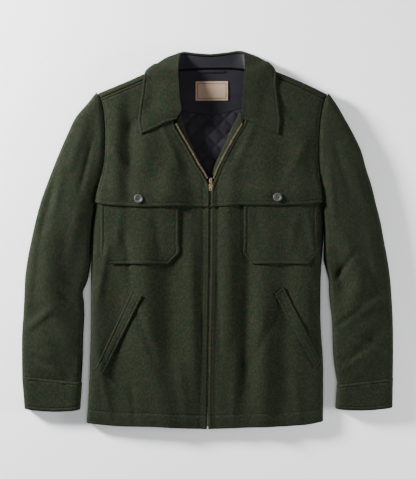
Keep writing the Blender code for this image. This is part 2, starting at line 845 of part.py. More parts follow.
def add_box(name, size, centre, look, bevel=0.0):
    bpy.ops.mesh.primitive_cube_add(size=1, location=Vector(centre) * MM)
    box = bpy.context.object
    box.name = name
    box.data.name = name
    box.scale = Vector(size) * MM
    bpy.ops.object.transform_apply(location=False, rotation=False, scale=True)
    move_to_jacket(box)
    box.data.materials.append(look)
    if bevel:
        rounded = box.modifiers.new("Edge", "BEVEL")
        rounded.width = bevel * MM
        rounded.segments = 2
        rounded.limit_method = "ANGLE"
    return box


def add_cylinder(name, radius, depth, centre, look, along_x=False, vertices=20):
    turned = (0, math.pi / 2, 0) if along_x else (0, 0, 0)
    bpy.ops.mesh.primitive_cylinder_add(
        radius=radius * MM, depth=depth * MM, vertices=vertices,
        location=Vector(centre) * MM, rotation=turned,
    )
    made = bpy.context.object
    made.name = name
    made.data.name = name
    move_to_jacket(made)
    made.data.materials.append(look)
    return made


def move_to_jacket(item, collection=None):
    for holder in list(item.users_collection):
        holder.objects.unlink(item)
    (collection or jacket).objects.link(item)


def as_tool(item):
    """Keep an object as a tool for a Boolean only."""
    move_to_jacket(item, tools)
    item.hide_render = True
    item.display_type = "WIRE"
    return item


def combine(target, tool, operation):
    cut = target.modifiers.new("Combine", "BOOLEAN")
    cut.operation = operation
    cut.solver = "EXACT"
    cut.object = as_tool(tool)


def make_slider():
    """Slider body with the two lugs and the pin that carry the pull tab."""
    x = ZIP_CENTRE
    spots = [(x + dx, SLIDER_Y - 2 - dy) for dx in (-4, 0, 4) for dy in range(6, 21, 2)]
    top = max(height(*spot) for spot in spots) + 0.5 + 0.7 - PIN_HEIGHT
    body = add_box("slider", (6.2, 13, 4.0), (x, SLIDER_Y, top - 2.0), brass, 0.8)
    for offset in (-2.4, 2.4):
        lug = add_box("lug", (1.2, 4.0, 3.4), (x + offset, SLIDER_Y - 2, top + 1.2), brass)
        combine(body, lug, "UNION")
    pin = add_cylinder("pin", 0.7, 5.4, (x, SLIDER_Y - 2, top + PIN_HEIGHT), brass, along_x=True)
    combine(body, pin, "UNION")
    return body, Vector((x, SLIDER_Y - 2, top + PIN_HEIGHT))


def make_pull_tab(hinge):
    """Flat pull tab with an eye round the pin and a hole near its end."""
    eye = add_cylinder("pull_tab", 1.55, 2.8, hinge, brass, along_x=True)
    neck = add_box("neck", (2.8, 4.0, 1.4), hinge + Vector((0, -2.6, 0)), brass)
    plate = add_box("plate", (7.6, 14.5, 1.4), hinge + Vector((0, -11.2, 0)), brass)
    bore = add_cylinder("bore", 1.0, 4, hinge, brass, along_x=True)
    hole = add_cylinder("hole", 1.5, 4, hinge + Vector((0, -15, 0)), brass)
    combine(eye, neck, "UNION")
    combine(eye, plate, "UNION")
    combine(eye, bore, "DIFFERENCE")
    combine(eye, hole, "DIFFERENCE")
    return eye


def make_button(name, side):
    """Turned button with a raised rim and four thread holes."""
    x, y, lay = side["button"]
    z = height(x, y) + WOOL + LAY + POCKET_LIFT + lay
    # Outline from the top's centre out and down to the underside: radius, height
    profile = (
        (0, 2.0), (4.6, 2.0), (5.8, 2.5), (6.6, 3.1), (7.8, 3.3),
        (8.8, 2.8), (BUTTON_RADIUS, 2.0), (8.4, 1.0), (6.0, 0.0), (0, 0.0),
    )
    mesh = bpy.data.meshes.new(name)
    points = [(r * MM, 0, h * MM) for r, h in profile]
    mesh.from_pydata(points, [(i, i + 1) for i in range(len(points) - 1)], [])
    button = bpy.data.objects.new(name, mesh)
    jacket.objects.link(button)
    button.location = Vector((x, y, z)) * MM
    screw = button.modifiers.new("Turn", "SCREW")
    screw.steps = 20
    screw.render_steps = 20
    screw.use_merge_vertices = True
    screw.merge_threshold = 0.00001
    mesh.materials.append(horn)
    for k in range(4):
        angle = math.pi / 4 + k * math.pi / 2
        spot = (x + 1.9 * math.cos(angle), y + 1.9 * math.sin(angle), z + 1)
        combine(button, add_cylinder("thread_hole", 0.8, 6, spot, horn, vertices=8), "DIFFERENCE")
    return button


clear_scene()
jacket = bpy.data.collections.new("shirt_jacket")
tools = bpy.data.collections.new("cutters")
bpy.context.scene.collection.children.link(jacket)
bpy.context.scene.collection.children.link(tools)

wool = material("green_wool", GREEN, 0.9)
dark = material("dark_lining", DARK, 0.7)
tan = material("tan_label", TAN, 0.85)
horn = material("dark_horn", HORN, 0.4)
brass = material("antique_brass", BRASS, 0.35, 1.0)

make_back()
for name, side in SIDES.items():
    make_yoke("yoke_" + name, side)
    make_front("front_" + name, side)
    make_sleeve("sleeve_" + name, side)
    make_cuff("cuff_" + name, side)
    make_pocket("chest_pocket_" + name, side)
    make_welt("welt_" + name, side)
    make_facing("facing_" + name, side)
    make_zip_side("zip_tape_" + name, side)
    make_button("button_" + name, side)
make_collar()
make_inner_collar()
make_neck_facing()
make_lining()
make_label()
make_hanger_loop()
make_zip_chain()
slider, hinge_mm = make_slider()
make_pull_tab(hinge_mm)
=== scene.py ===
# %% [markdown]
# # A wool shirt jacket, laid flat
# The jacket lies on its back with the fronts up and the zip open to the chest. The packed
# model is loaded first. It is the fixed frame, and every piece of cloth below is a finer
# sheet on the form of the solid that it replaces.

# %% Load the frame
import math

import bmesh
import bpy
import numpy as np
from mathutils import Matrix, Vector


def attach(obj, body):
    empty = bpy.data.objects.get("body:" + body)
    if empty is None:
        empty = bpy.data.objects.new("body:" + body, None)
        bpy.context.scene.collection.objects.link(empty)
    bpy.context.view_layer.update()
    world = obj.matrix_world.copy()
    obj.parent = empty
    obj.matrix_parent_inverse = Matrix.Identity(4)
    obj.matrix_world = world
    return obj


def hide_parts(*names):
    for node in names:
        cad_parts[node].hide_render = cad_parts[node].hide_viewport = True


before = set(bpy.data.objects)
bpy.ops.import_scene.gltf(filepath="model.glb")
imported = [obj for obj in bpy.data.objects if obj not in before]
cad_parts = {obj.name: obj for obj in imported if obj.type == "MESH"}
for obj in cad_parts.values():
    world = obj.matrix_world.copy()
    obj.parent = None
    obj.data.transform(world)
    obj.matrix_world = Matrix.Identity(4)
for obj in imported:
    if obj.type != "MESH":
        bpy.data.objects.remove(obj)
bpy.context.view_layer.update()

# %% [markdown]
# ## Sizes
# Cloth is measured in millimetres here, and made in metres. X runs to the right, Y to the
# collar and Z up from the surface. The tables hold the outline of each side, the height of
# the top cloth, and its folds. The first set of folds is the one that shaped the solids,
# and the creases add to it.

# %% Cloth walls, and the gaps between layers, in mm
MM = 0.001
WOOL = 2.6
LINING = 1.2
QUILT = 3.0
SEAM = 0.4
LAY = 0.4
SHOULDER_GAP = 0.9
INSIDE_LAY = 1.0
POCKET_LAY = 1.5
POCKET_LIFT = 5.0
COLLAR_LIFT = 3.2
EDGE_GAP = 0.35
ZIP_TAPE = 1.6
print("walls: wool", WOOL, "lining", LINING, "quilting", QUILT, "mm")

# %% Layout: rolls of the sides, tucks, flap and hem, in mm
ROLL = 12.0
TUCK = 26.0
FLAP = 18.0
FLAP_RAMP = 55.0
HEM_STEP = 26.0
HEM_LINE = 28.0
FRONT_TOP = 84.0
ARMPIT = 67.0
ZIP_CENTRE = 5.5
SLIDER_Y = 121.0
SLIT_GAP = 1.7
SLIT_TOP = -352.0
print("the sides roll over", ROLL, "mm, and the hem is", HEM_LINE, "mm deep")

# %% Fineness of the cloth, and strength of its folds
GRID = 3.0
FOLD_GAIN = 0.9
FOLD_SOFT = 1.3
SLEEVE_PUFF = 8.0
BODY_PUFF = 5.0
BODY_HALF = 238.0
ARMHOLE_DIP = 3.2
ARMHOLE_DIP_WIDTH = 5.5
print("a point of cloth every", GRID, "mm")

# %% Height of the top cloth: y, height
LOFT = (
    (-400, 19), (-300, 22), (-150, 25), (0, 27),
    (150, 29), (250, 28), (320, 26), (400, 24),
)

# %% Soft folds: x1, y1, x2, y2, half width, rise
FOLDS = (
    (-190, -100, -186, -330, 22, -3.0),
    (-133, 0, -126, -208, 20, 3.5),
    (-118, -230, -80, -385, 18, 3.0),
    (-80, -60, -77, -250, 18, -3.0),
    (-34, 0, -28, -301, 12, 2.5),
    (42, 123, 42, -208, 13, 2.5),
    (83, 0, 78, -332, 16, -4.5),
    (112, -125, 118, -374, 16, 3.5),
    (157, -60, 157, -360, 18, -3.0),
    (197, -42, 200, -180, 18, 2.5),
    (-188, 270, -190, 100, 14, 2.5),
    (-163, 270, -165, 90, 12, -2.5),
    (-126, 200, -130, 150, 16, 2.0),
    (-77, 150, -85, 80, 16, 2.5),
    (-50, 170, -18, 85, 12, -2.0),
    (48, 150, 45, 90, 12, 2.0),
    (116, 180, 118, 100, 18, 1.5),
    (192, 220, 190, 100, 18, 2.5),
    (60, 190, 38, 150, 11, -2.0),
    (-335, 20, -335, -90, 22, 3.5),
    (-288, -10, -288, -100, 16, -1.4),
    (-350, -150, -300, -185, 14, -2.0),
    (-319, -208, -280, -290, 13, -1.6),
    (-331, -125, -285, -208, 14, 2.0),
    (280, 0, 315, -84, 13, 3.5),
    (315, -84, 290, -160, 13, 3.0),
    (276, -60, 278, -100, 10, -2.5),
    (345, -200, 300, -250, 12, -2.5),
)

# %% Smaller creases of the finished cloth: x1, y1, x2, y2, half width, rise
CREASED = (
    (-352, 40, -372, -120, 9, 1.6), (-318, 110, -345, 10, 10, -1.6), (-300, 150, -318, 60, 9, 1.4),
    (-268, 60, -288, -50, 11, 1.0), (-300, -120, -262, -150, 7, -1.6), (-368, -180, -330, -150, 8, 1.6),
    (-372, -240, -320, -262, 9, -1.0), (-300, -255, -275, -285, 6, 1.2),
    (-255, 235, -285, 150, 10, 1.5), (-240, 200, -262, 110, 7, -1.5), (300, 150, 330, 60, 9, 1.5),
    (262, 200, 290, 100, 9, -1.5), (250, 150, 262, 40, 7, 1.4), (330, 20, 352, -90, 9, 1.5),
    (300, -30, 268, -80, 7, -1.5), (360, -120, 318, -150, 8, 1.5), (268, -180, 305, -150, 7, -1.4),
    (370, -230, 325, -205, 8, -1.4), (280, -270, 320, -240, 7, 1.3), (-205, -10, -228, -120, 8, 1.4),
    (-172, 10, -160, -85, 8, -1.2), (-150, -140, -110, -250, 9, -1.6), (-60, -250, -44, -370, 10, 1.4),
    (-228, -230, -205, -360, 8, 1.4), (-160, -300, -150, -375, 8, -1.3), (-20, -60, -14, -220, 7, -1.0),
    (22, -60, 24, -260, 6, -1.0), (60, -230, 52, -370, 9, 1.3), (140, -150, 100, -240, 9, -1.4),
    (182, -290, 190, -375, 8, 1.3), (215, -100, 224, -230, 7, -1.2), (205, 50, 222, -40, 7, 1.2),
    (100, 60, 112, -20, 11, -1.1), (180, 40, 170, -20, 9, 1.0), (-108, 40, -100, -20, 9, -1.1),
    (-180, 50, -190, -10, 9, 1.1), (-110, 290, -160, 230, 10, -1.2), (140, 300, 190, 240, 10, -1.2),
    (-96, 235, -60, 150, 8, 1.2), (95, 235, 60, 160, 8, 1.2), (-200, 200, -150, 110, 10, 1.0),
    (205, 205, 160, 120, 10, 1.0),
)
print(len(FOLDS), "folds and", len(CREASED), "creases")

# %% Outline of each side, from the shoulder down
SIDES = {
    "left": {
        "sign": -1,
        "armhole": (
            (-230, 304), (-225, 293), (-218, 266), (-215, 223), (-216, 175),
            (-220, 150), (-226, 115), (-233, 88), (-237, 67),
        ),
        "side": (
            (-237, 67), (-242, 20), (-243, -47), (-244, -125), (-244, -191),
            (-246, -249), (-248, -299), (-250, -341), (-253, -382),
        ),
        "outer": (
            (-230, 304), (-250, 280), (-271, 256), (-290, 218), (-306, 181),
            (-321, 144), (-335, 107), (-348, 69), (-360, 20), (-368, -18),
            (-377, -67), (-381, -142), (-385, -204), (-385, -285),
        ),
        "inner": (
            (-237, 67), (-243, 20), (-245, -38), (-246, -55), (-254, -92),
            (-262, -112), (-259, -140), (-259, -167), (-261, -200),
            (-262, -250), (-265, -297),
        ),
        "shoulder": ((-230, 304), (-190, 320), (-157, 334), (-132, 345), (-93, 359)),
        "neck": ((-89, 345), (-83, 320), (-77, 289), (-73, 264), (-71, 243)),
        "opening": ((-71, 241), (-56, 214), (-39, 185), (-23, 156), (-10, 136), (-2, 121)),
        "hem": ((-253, -382), (-186, -388), (-103, -389), (-54, -392), (-1, -394)),
        "flap_edge": ((-236, 78), (-215, 71), (-138, 67), (-61, 68), (5, 67)),
        "pocket": (-222, -60, -51, -28, 22, 22),
        "welt": ((-158, -107), (-135, -116), (-233, -266), (-218, -281)),
        "facing": ((-56, 262), (-47, 227), (-34, 196), (-18, 165), (-5, 140), (2, 130)),
        "cuff": ((-385, -286), (-380, -351), (-265, -298), (-269, -353)),
        "button": (-143, 84, 0.1),
    },
    "right": {
        "sign": 1,
        "armhole": (
            (249, 302), (244, 291), (238, 266), (233, 227), (232, 175),
            (234, 144), (236, 109), (239, 84), (242, 67),
        ),
        "side": (
            (242, 67), (241, 9), (236, -55), (234, -92), (234, -167),
            (236, -204), (238, -229), (240, -266), (240, -382),
        ),
        "outer": (
            (249, 302), (265, 280), (279, 256), (300, 218), (317, 181),
            (327, 144), (339, 107), (348, 69), (360, 20), (366, -18),
            (375, -67), (381, -142), (383, -204), (383, -288),
        ),
        "inner": (
            (242, 67), (243, 9), (242, -47), (244, -57), (252, -76),
            (253, -105), (255, -130), (259, -160), (261, -204),
            (263, -250), (271, -302),
        ),
        "shoulder": ((249, 302), (224, 314), (190, 330), (157, 343), (132, 353), (99, 363)),
        "neck": ((93, 350), (87, 320), (81, 289), (78, 264), (75, 243)),
        "opening": ((75, 241), (57, 212), (42, 185), (28, 158), (19, 138), (13, 121)),
        "hem": ((240, -378), (211, -384), (161, -388), (95, -390), (0, -394)),
        "flap_edge": ((241, 78), (215, 72), (144, 70), (64, 71), (5, 67)),
        "pocket": (227, 74, -51, -29, 21, 17),
        "welt": ((157, -99), (138, -113), (233, -251), (223, -268)),
        "facing": ((67, 266), (60, 250), (49, 232), (30, 189), (14, 154), (9, 134)),
        "cuff": ((383, -289), (382, -348), (271, -303), (268, -351)),
        "button": (143, 87, 0.6),
    },
}

# %% Sections of the collar's fall: fold, two points on the way, outer edge
FALL = {
    "left": (
        ((5, 384, 8.5), (5, 387.5, 4), (5, 381, 0), (5, 318, 0)),
        ((-28, 386, 9), (-28, 389.5, 4.4), (-28, 383, 0), (-32, 317, 0)),
        ((-50, 388, 11), (-54, 392, 5), (-55, 384, 0), (-64, 315, 0)),
        ((-58, 385, 16), (-69, 387, 7), (-74, 377, 0), (-90, 317, 0)),
        ((-60, 374, 24), (-86, 380, 11), (-90, 368, 0), (-100, 325, 0)),
        ((-61, 363, 31), (-104, 368, 14), (-106, 359, 0), (-110, 336, 0)),
        ((-61, 353, 35), (-107, 365, 20), (-116, 362, 8), (-117, 354, 0)),
        ((-61, 346, 37), (-101, 354, 34), (-120, 357, 26), (-128, 354, 14)),
        ((-61, 338, 38.5), (-95, 342, 37.5), (-118, 344, 34.5), (-132, 341, 32)),
        ((-60, 325, 40), (-88, 325, 38), (-115, 323, 34), (-135, 318, 30)),
        ((-59, 305, 41), (-88, 303, 39), (-115, 300, 34), (-138, 294, 31)),
        ((-57, 285, 41), (-88, 281, 39), (-116, 276, 34), (-142, 268, 31)),
        ((-55, 266, 40), (-88, 259, 38), (-117, 250, 34), (-144, 240, 31)),
        ((-66, 247, 35), (-88, 240, 35), (-108, 230, 33), (-139, 217, 31)),
    ),
    "right": (
        ((5, 384, 8.5), (5, 387.5, 4), (5, 381, 0), (5, 318, 0)),
        ((38, 387, 9), (38, 390.5, 4.4), (38, 384, 0), (42, 318, 0)),
        ((66, 390, 11), (70, 394, 5), (71, 386, 0), (76, 318, 0)),
        ((75, 387, 16), (85, 389, 7), (90, 379, 0), (102, 321, 0)),
        ((76, 376, 24), (102, 382, 11), (106, 370, 0), (112, 329, 0)),
        ((76, 366, 31), (118, 372, 14), (120, 360, 0), (122, 338, 0)),
        ((76, 357, 35), (120, 369, 20), (129, 365, 8), (130, 355, 0)),
        ((76, 350, 37), (115, 358, 34), (132, 360, 26), (138, 357, 14)),
        ((75, 341, 38.5), (108, 345, 37.5), (129, 347, 34.5), (141, 343, 32)),
        ((74, 327, 40), (100, 327, 38), (123, 325, 34), (141, 319, 30)),
        ((72, 306, 41), (99, 305, 39), (124, 301, 34), (144, 295, 31)),
        ((71, 285, 41), (98, 283, 39), (124, 277, 34), (147, 268, 31)),
        ((70, 266, 40), (98, 260, 38), (124, 252, 34), (149, 244, 31)),
        ((74, 247, 35), (94, 240, 35), (112, 230, 33), (146, 216, 31)),
    ),
}

# %% Lower edge of the inner collar, and the lines of the neck
STAND = {
    "left": (
        (5, 358, 7.6), (-30, 357.5, 7.6), (-56, 356, 8.5), (-72, 353, 11), (-79, 348, 16),
        (-80, 343, 22), (-80, 338, 26), (-80, 333, 28), (-80, 325, 29.5), (-78, 312, 31),
        (-75, 295, 32), (-71, 277, 32), (-67, 260, 32), (-66, 250, 31.5),
    ),
    "right": (
        (5, 358, 7.6), (40, 358, 7.6), (62, 357, 8.5), (77, 355, 11), (84, 351, 16),
        (85, 346, 22), (85, 341, 26), (85, 335, 28), (85, 326, 29.5), (83, 313, 31),
        (80, 296, 32), (77, 277, 32), (73, 260, 32), (72, 250, 31.5),
    ),
}
SIDE_ROWS = (67, 61, 55, 40, 20, 0, -23, -50, -80, -110, -140, -170, -200, -235, -270, -305, -340)
NECK_FACING = ((-72, 272), (-31, 265), (9, 260), (48, 268), (78, 276))
NECK_SEAM = ((-84, 344), (-66, 351), (-35, 354), (5, 355), (45, 355), (70, 353), (88, 347))
ACROSS = (0, 3, 6.5, 11, 16)
PANEL_COLUMNS = 9
SIDE_ANGLES = (30, 60, 90)
SLEEVE_STEPS = (0, 0.12, 0.24, 0.36, 0.46, 0.57, 0.68, 0.79, 0.88, 1.0)
ROW_STEPS = (0, 0.12, 0.24, 0.36, 0.46, 0.57, 0.68, 0.79, 0.88, 0.94, 1.0)
print("sections of the collar's fall on each side:", len(FALL["left"]))


# %% [markdown]
# ## Curves and heights
# Small helpers read the tables. A smooth curve passes through each line of points, and one
# function gives the height of the top cloth anywhere, so that panels which lie on each
# other share their folds and stay parallel.

# %% Curve helpers
def mix(a, b, t):
    return a + (b - a) * t


def ease(low, high, value):
    t = np.clip((value - low) / (high - low), 0, 1)
    return t * t * (3 - 2 * t)


def table(rows, value):
    """Read a two-column table that runs up or down in its first column."""
    rows = np.array(sorted((row[0], row[1]) for row in rows), float)
    return np.interp(value, rows[:, 0], rows[:, 1])


def smooth(points, pieces=8):
    """Pass a smooth curve through points."""
    points = [Vector(p) for p in points]
    ends = [points[0] * 2 - points[1]] + points + [points[-1] * 2 - points[-2]]
    path = [points[0]]
    for i in range(len(points) - 1):
        a, b, c, d = ends[i:i + 4]
        for k in range(1, pieces + 1):
            t = k / pieces
            path.append(0.5 * (
                2 * b + (c - a) * t + (2 * a - 5 * b + 4 * c - d) * t * t
                + (3 * b - a - 3 * c + d) * t * t * t
            ))
    return path


def length(path):
    return sum((b - a).length for a, b in zip(path, path[1:]))


def along(path, distance):
    """The point at a distance along a path."""
    if distance <= 0:
        return path[0].copy()
    for a, b in zip(path, path[1:]):
        step = (b - a).length
        if distance <= step:
            return a.lerp(b, distance / step)
        distance -= step
    return path[-1].copy()


def share(path, t):
    return along(path, length(path) * t)


def away(x, y, a, b):
    """Distance from points to the segment between a and b."""
    line = np.subtract(b, a)
    t = np.clip(((x - a[0]) * line[0] + (y - a[1]) * line[1]) / line.dot(line), 0, 1)
    return np.hypot(x - a[0] - line[0] * t, y - a[1] - line[1] * t)


def soft_fold(x, y, a, b, width):
    """Share of a fold's rise at points: full along its middle, and fading at both ends."""
    line = np.subtract(b, a)
    span = math.hypot(*line)
    t = ((x - a[0]) * line[0] + (y - a[1]) * line[1]) / span ** 2
    beside = ((x - a[0]) * line[1] - (y - a[1]) * line[0]) / span / width
    beyond = np.maximum(0, np.abs(t - 0.5) - 0.28) * span / (0.24 * span + width)
    return np.exp(-beside ** 2 - beyond ** 2)


def laid_out(tall, wide, point):
    """Rows of points, each made from its shares of the way down and across."""
    return [[point(k / (tall - 1), i / (wide - 1)) for i in range(wide)] for k in range(tall)]


print("left sleeve, outer line:", round(length(smooth(SIDES["left"]["outer"]))), "mm")

# %% Height of the top cloth
def gap_line(y):
    return mix(-1.0, 5.0, ease(-394, 60, y))


CREASES = {name: smooth(side["armhole"], 3) for name, side in SIDES.items()}


def seam_distance(x, y):
    """Distance from the nearer armhole seam."""
    reach = np.full(np.shape(x), 1e3)
    for crease in CREASES.values():
        for a, b in zip(crease, crease[1:]):
            reach = np.minimum(reach, away(x, y, a, b))
    return reach


def height(x, y):
    """Height of the top cloth's outer face over the surface, for points or arrays."""
    z = table(LOFT, y)
    calm = np.hypot(x - ZIP_CENTRE, y - SLIDER_Y)
    gain = 1 + FOLD_GAIN * ease(25, 70, calm)
    for folds, soft in ((FOLDS, FOLD_SOFT), (CREASED, 1.0)):
        for x1, y1, x2, y2, width, rise in folds:
            z = z + gain * rise * soft_fold(x, y, (x1, y1), (x2, y2), width * soft)
    across = np.abs(x - gap_line(y)) / BODY_HALF
    z = z + BODY_PUFF * np.clip(4 * across * (1 - across), 0, 1) * ease(380, 300, y)
    z = z - ARMHOLE_DIP * np.exp(-(seam_distance(x, y) / ARMHOLE_DIP_WIDTH) ** 2)
    edge = np.abs(x - gap_line(y))
    placket = 1.8 * np.exp(-((edge - 6) / 4) ** 2) - 1.0 * np.exp(-((edge - 15) / 3) ** 2)
    return z + placket * (np.asarray(y) < SLIDER_Y)


def turn(z_edge, z_top, reach):
    """Height where cloth rolls over an edge, by its distance in from the edge."""
    far = 1 - min(max(reach, 0), ROLL) / ROLL
    return mix(z_edge, z_top, math.sqrt(1 - far * far))


def seam_top(x, y):
    z = height(x, y)
    return turn(z / 2, z, y - ARMPIT)


def back_level(x, y):
    """Height of the back's lower face, raised where the collar lies beneath it."""
    return COLLAR_LIFT * ease(286, 312, y) * (1 - ease(146, 164, abs(x - 4)))


def side_edge(side, y):
    return table([(p[1], p[0]) for p in side["side"]], y)


def side_bottom(side):
    return side["side"][-1][1]


def front_level(side, x, y):
    """Height of the front's outer face, with its roll at the side."""
    z = height(x, y)
    if y > ARMPIT:
        return z
    return turn(z / 2, z, abs(side_edge(side, y) - x))


print("height at the middle of the left chest:", round(float(height(-120, 150)), 2), "mm")


# %% [markdown]
# ## From a few rows to fine cloth
# Each panel is laid out as a few rows of points. `spread` fills in between them with a
# smooth curve, about every three millimetres, and closer near a stitched edge. Where a
# panel follows the top cloth, it is the share of that height that is filled in, and the
# height itself is read again at each fine point. So the fine cloth has every fold, and it
# stays on the form of the solid.

# %% Fill in between rows
def spread(knots, places):
    """Weights that carry values at knots smoothly to places."""
    count = len(knots)
    step = np.diff(knots)
    slope = np.zeros((count - 1, count))
    for i in range(count - 1):
        slope[i, i] = -1 / step[i]
        slope[i, i + 1] = 1 / step[i]
    lean = np.zeros((count, count))
    lean[0] = slope[0]
    lean[-1] = slope[-1]
    for i in range(1, count - 1):
        lean[i] = (step[i] * slope[i - 1] + step[i - 1] * slope[i]) / (step[i - 1] + step[i])
    cell = np.clip(np.searchsorted(knots, places, "right") - 1, 0, count - 2)
    u = (places - knots[cell]) / step[cell]
    weights = np.zeros((len(places), count))
    rows = np.arange(len(places))
    weights[rows, cell] += 2 * u ** 3 - 3 * u ** 2 + 1
    weights[rows, cell + 1] += 3 * u ** 2 - 2 * u ** 3
    weights += ((u ** 3 - 2 * u ** 2 + u) * step[cell])[:, None] * lean[cell]
    weights += ((u ** 3 - u ** 2) * step[cell])[:, None] * lean[cell + 1]
    return weights, cell


EDGE_STEPS = (0, 0.7, 1.5, 2.6, 4.0, 5.2, 6.2, 7.2, 8.4)


def places_for(knots, grid, stitched, marks=()):
    """Places between the first and the last knot, closer at each stitched end."""
    end = knots[-1]
    near = [s for s in EDGE_STEPS if s < end / 2] if stitched else [0]
    first = near[-1]
    count = max(2, round((end - 2 * first) / grid))
    middle = np.linspace(first, end - first, count + 1)
    near = list(near) + [m for m in marks if m < end / 2]
    return np.unique(np.round(np.concatenate([near, middle, [end - s for s in near]]), 3))


def mean_steps(points, axis):
    step = np.linalg.norm(np.diff(points, axis=axis), axis=2)
    return np.concatenate([[0], np.cumsum(np.maximum(step.mean(axis=1 - axis), 0.2))])


def fill_gaps(points):
    """Give the missing points of a panel the place of the nearest one in their column."""
    rows = len(points)
    for j in range(points.shape[1]):
        here = [i for i in range(rows) if not np.isnan(points[i, j, 0])]
        for i in range(rows):
            if i not in here:
                points[i, j] = points[min(here, key=lambda k: abs(k - i)), j]
    return points


print("points along 100 mm of sewn edge:", len(places_for(np.array([0.0, 100.0]), GRID, True)))

# %% Make one piece of cloth
pieces = {}


def fine_grid(rows, ring, follow, grid, stitched, marks):
    """Fine points in mm, and the mask of the cells that exist."""
    points = np.array([[(np.nan,) * 3 if p is None else tuple(p) for p in row] for row in rows])
    there = ~np.isnan(points[:, :, 0])
    points = fill_gaps(points)
    if ring:
        points = np.concatenate([points[:, -2:], points, points[:, :3]], axis=1)
        there = np.ones(points.shape[:2], bool)
    if follow:
        points[:, :, 2] /= height(points[:, :, 0], points[:, :, 1])
    level = points.copy()
    if follow:
        level[:, :, 2] *= table(LOFT, level[:, :, 1])
    down = mean_steps(level, 0)
    across = mean_steps(level, 1)
    rows_at = places_for(down, grid, stitched, marks)
    if ring:
        start, end = across[2], across[-3]
        columns_at = np.linspace(start, end, round((end - start) / grid) + 1)[:-1]
    else:
        columns_at = places_for(across, grid, stitched)
    tall, row_cell = spread(down, rows_at)
    wide, column_cell = spread(across, columns_at)
    fine = np.einsum("ai,ijk,bj->abk", tall, points, wide)
    if follow:
        fine[:, :, 2] *= height(fine[:, :, 0], fine[:, :, 1])
    whole = there[:-1, :-1] & there[1:, :-1] & there[:-1, 1:] & there[1:, 1:]
    mask = whole[row_cell[:-1]][:, column_cell if ring else column_cell[:-1]]
    return fine, mask


def travelled(fine, axis):
    """Distance walked along rows or columns, in mm."""
    step = np.linalg.norm(np.diff(fine, axis=axis), axis=2)
    pad = [(0, 0), (0, 0)]
    pad[axis] = (1, 0)
    return np.cumsum(np.pad(step, pad), axis=axis)


def cloth(name, rows, wall, look, ring=False, up=True, follow=True, grid=GRID,
          stitched=True, shape=None, even=True, marks=()):
    """Make a cloth piece from rows of points on its outer face."""
    fine, mask = fine_grid(rows, ring, follow, grid, stitched, marks)
    across = travelled(fine, 1)
    down = travelled(fine, 0)
    if shape:
        shape(fine, across, down)
    fine[:, :, 2] = np.maximum(fine[:, :, 2], 0)
    tall, wide = fine.shape[:2]
    index = np.arange(tall * wide).reshape(tall, wide)
    right = np.roll(index, -1, axis=1)
    if not ring:
        right = right[:, :-1]
        index = index[:, :-1]
    corners = np.stack([index[:-1], right[:-1], right[1:], index[1:]], axis=-1)[mask]
    mesh = bpy.data.meshes.new(name)
    mesh.from_pydata(fine.reshape(-1, 3) * MM, [], corners.tolist())
    middle = mesh.polygons[len(corners) // 40]
    mesh.update()
    if (middle.normal.z > 0) != up:
        mesh.flip_normals()
    chart = mesh.uv_layers.new(name="cloth")
    places = np.stack([across, down], axis=-1).reshape(-1, 2) * MM
    used = np.zeros(len(mesh.loops), int)
    mesh.loops.foreach_get("vertex_index", used)
    chart.data.foreach_set("uv", places[used].ravel())
    piece = bpy.data.objects.new(name, mesh)
    bpy.context.scene.collection.objects.link(piece)
    tidy_loose(mesh)
    mesh.materials.append(look)
    mesh.shade_smooth()
    thick = piece.modifiers.new("Wall", "SOLIDIFY")
    thick.thickness = wall * MM
    thick.offset = -1
    thick.use_even_offset = even
    thick.use_rim = True
    pieces[name] = {"object": freeze(piece), "grid": fine, "across": across, "down": down}
    return pieces[name]["object"]


def tidy_loose(mesh):
    build = bmesh.new()
    build.from_mesh(mesh)
    bmesh.ops.delete(build, geom=[v for v in build.verts if not v.link_faces], context="VERTS")
    build.to_mesh(mesh)
    build.free()


def freeze_plain(piece):
    """Turn a piece with modifiers into a plain mesh."""
    graph = bpy.context.evaluated_depsgraph_get()
    made = bpy.data.meshes.new_from_object(piece.evaluated_get(graph))
    made.name = piece.name
    piece.modifiers.clear()
    piece.data = made
    return made


def freeze(piece):
    """The same for a piece in its place, with nothing of it below the surface."""
    made = freeze_plain(piece)
    spots = np.zeros(len(made.vertices) * 3)
    made.vertices.foreach_get("co", spots)
    spots[2::3] = np.maximum(spots[2::3], 0)
    made.vertices.foreach_set("co", spots)
    return piece


# %% [markdown]
# ## The panels
# Each function below lays out one panel as rows of points: the yoke and the front share
# the armhole with the sleeve, the front rolls round the side and is tucked beneath, and
# the back lies flat on the surface and comes up round the shoulders.

# %% Points of the armhole and the shoulder
def armhole_at(side, t):
    """A point of the armhole seam, from the shoulder's roll to the armpit's."""
    path = smooth(side["armhole"])
    return along(path, ROLL + (length(path) - 2 * ROLL) * t)


def armhole_x(side, y):
    path = smooth(side["armhole"])
    for a, b in zip(path, path[1:]):
        if b.y <= y <= a.y:
            return mix(b.x, a.x, (y - b.y) / (a.y - b.y))
    return path[-1].x


def shoulder_point(side, t, inward):
    """A point inward of the shoulder's outline, t from the armhole to the neck."""
    path = smooth(side["shoulder"])
    here = share(path, t)
    ahead = share(path, min(1, t + 0.02)) - share(path, max(0, t - 0.02))
    ahead.normalize()
    normal = Vector((ahead.y, -ahead.x))
    if normal.y > 0:
        normal = -normal
    return here + normal * inward


def column_steps(span):
    """Shares of a row's span at the columns that the yoke and the front have in common."""
    steps = [ROLL * (1 - math.sin(math.radians(a))) for a in SIDE_ANGLES[::-1]]
    start, stop = ROLL, span - ACROSS[-1]
    steps += [mix(start, stop, k / PANEL_COLUMNS) for k in range(PANEL_COLUMNS + 1)]
    steps += [span - a for a in ACROSS[-2::-1]]
    return [step / span for step in steps]


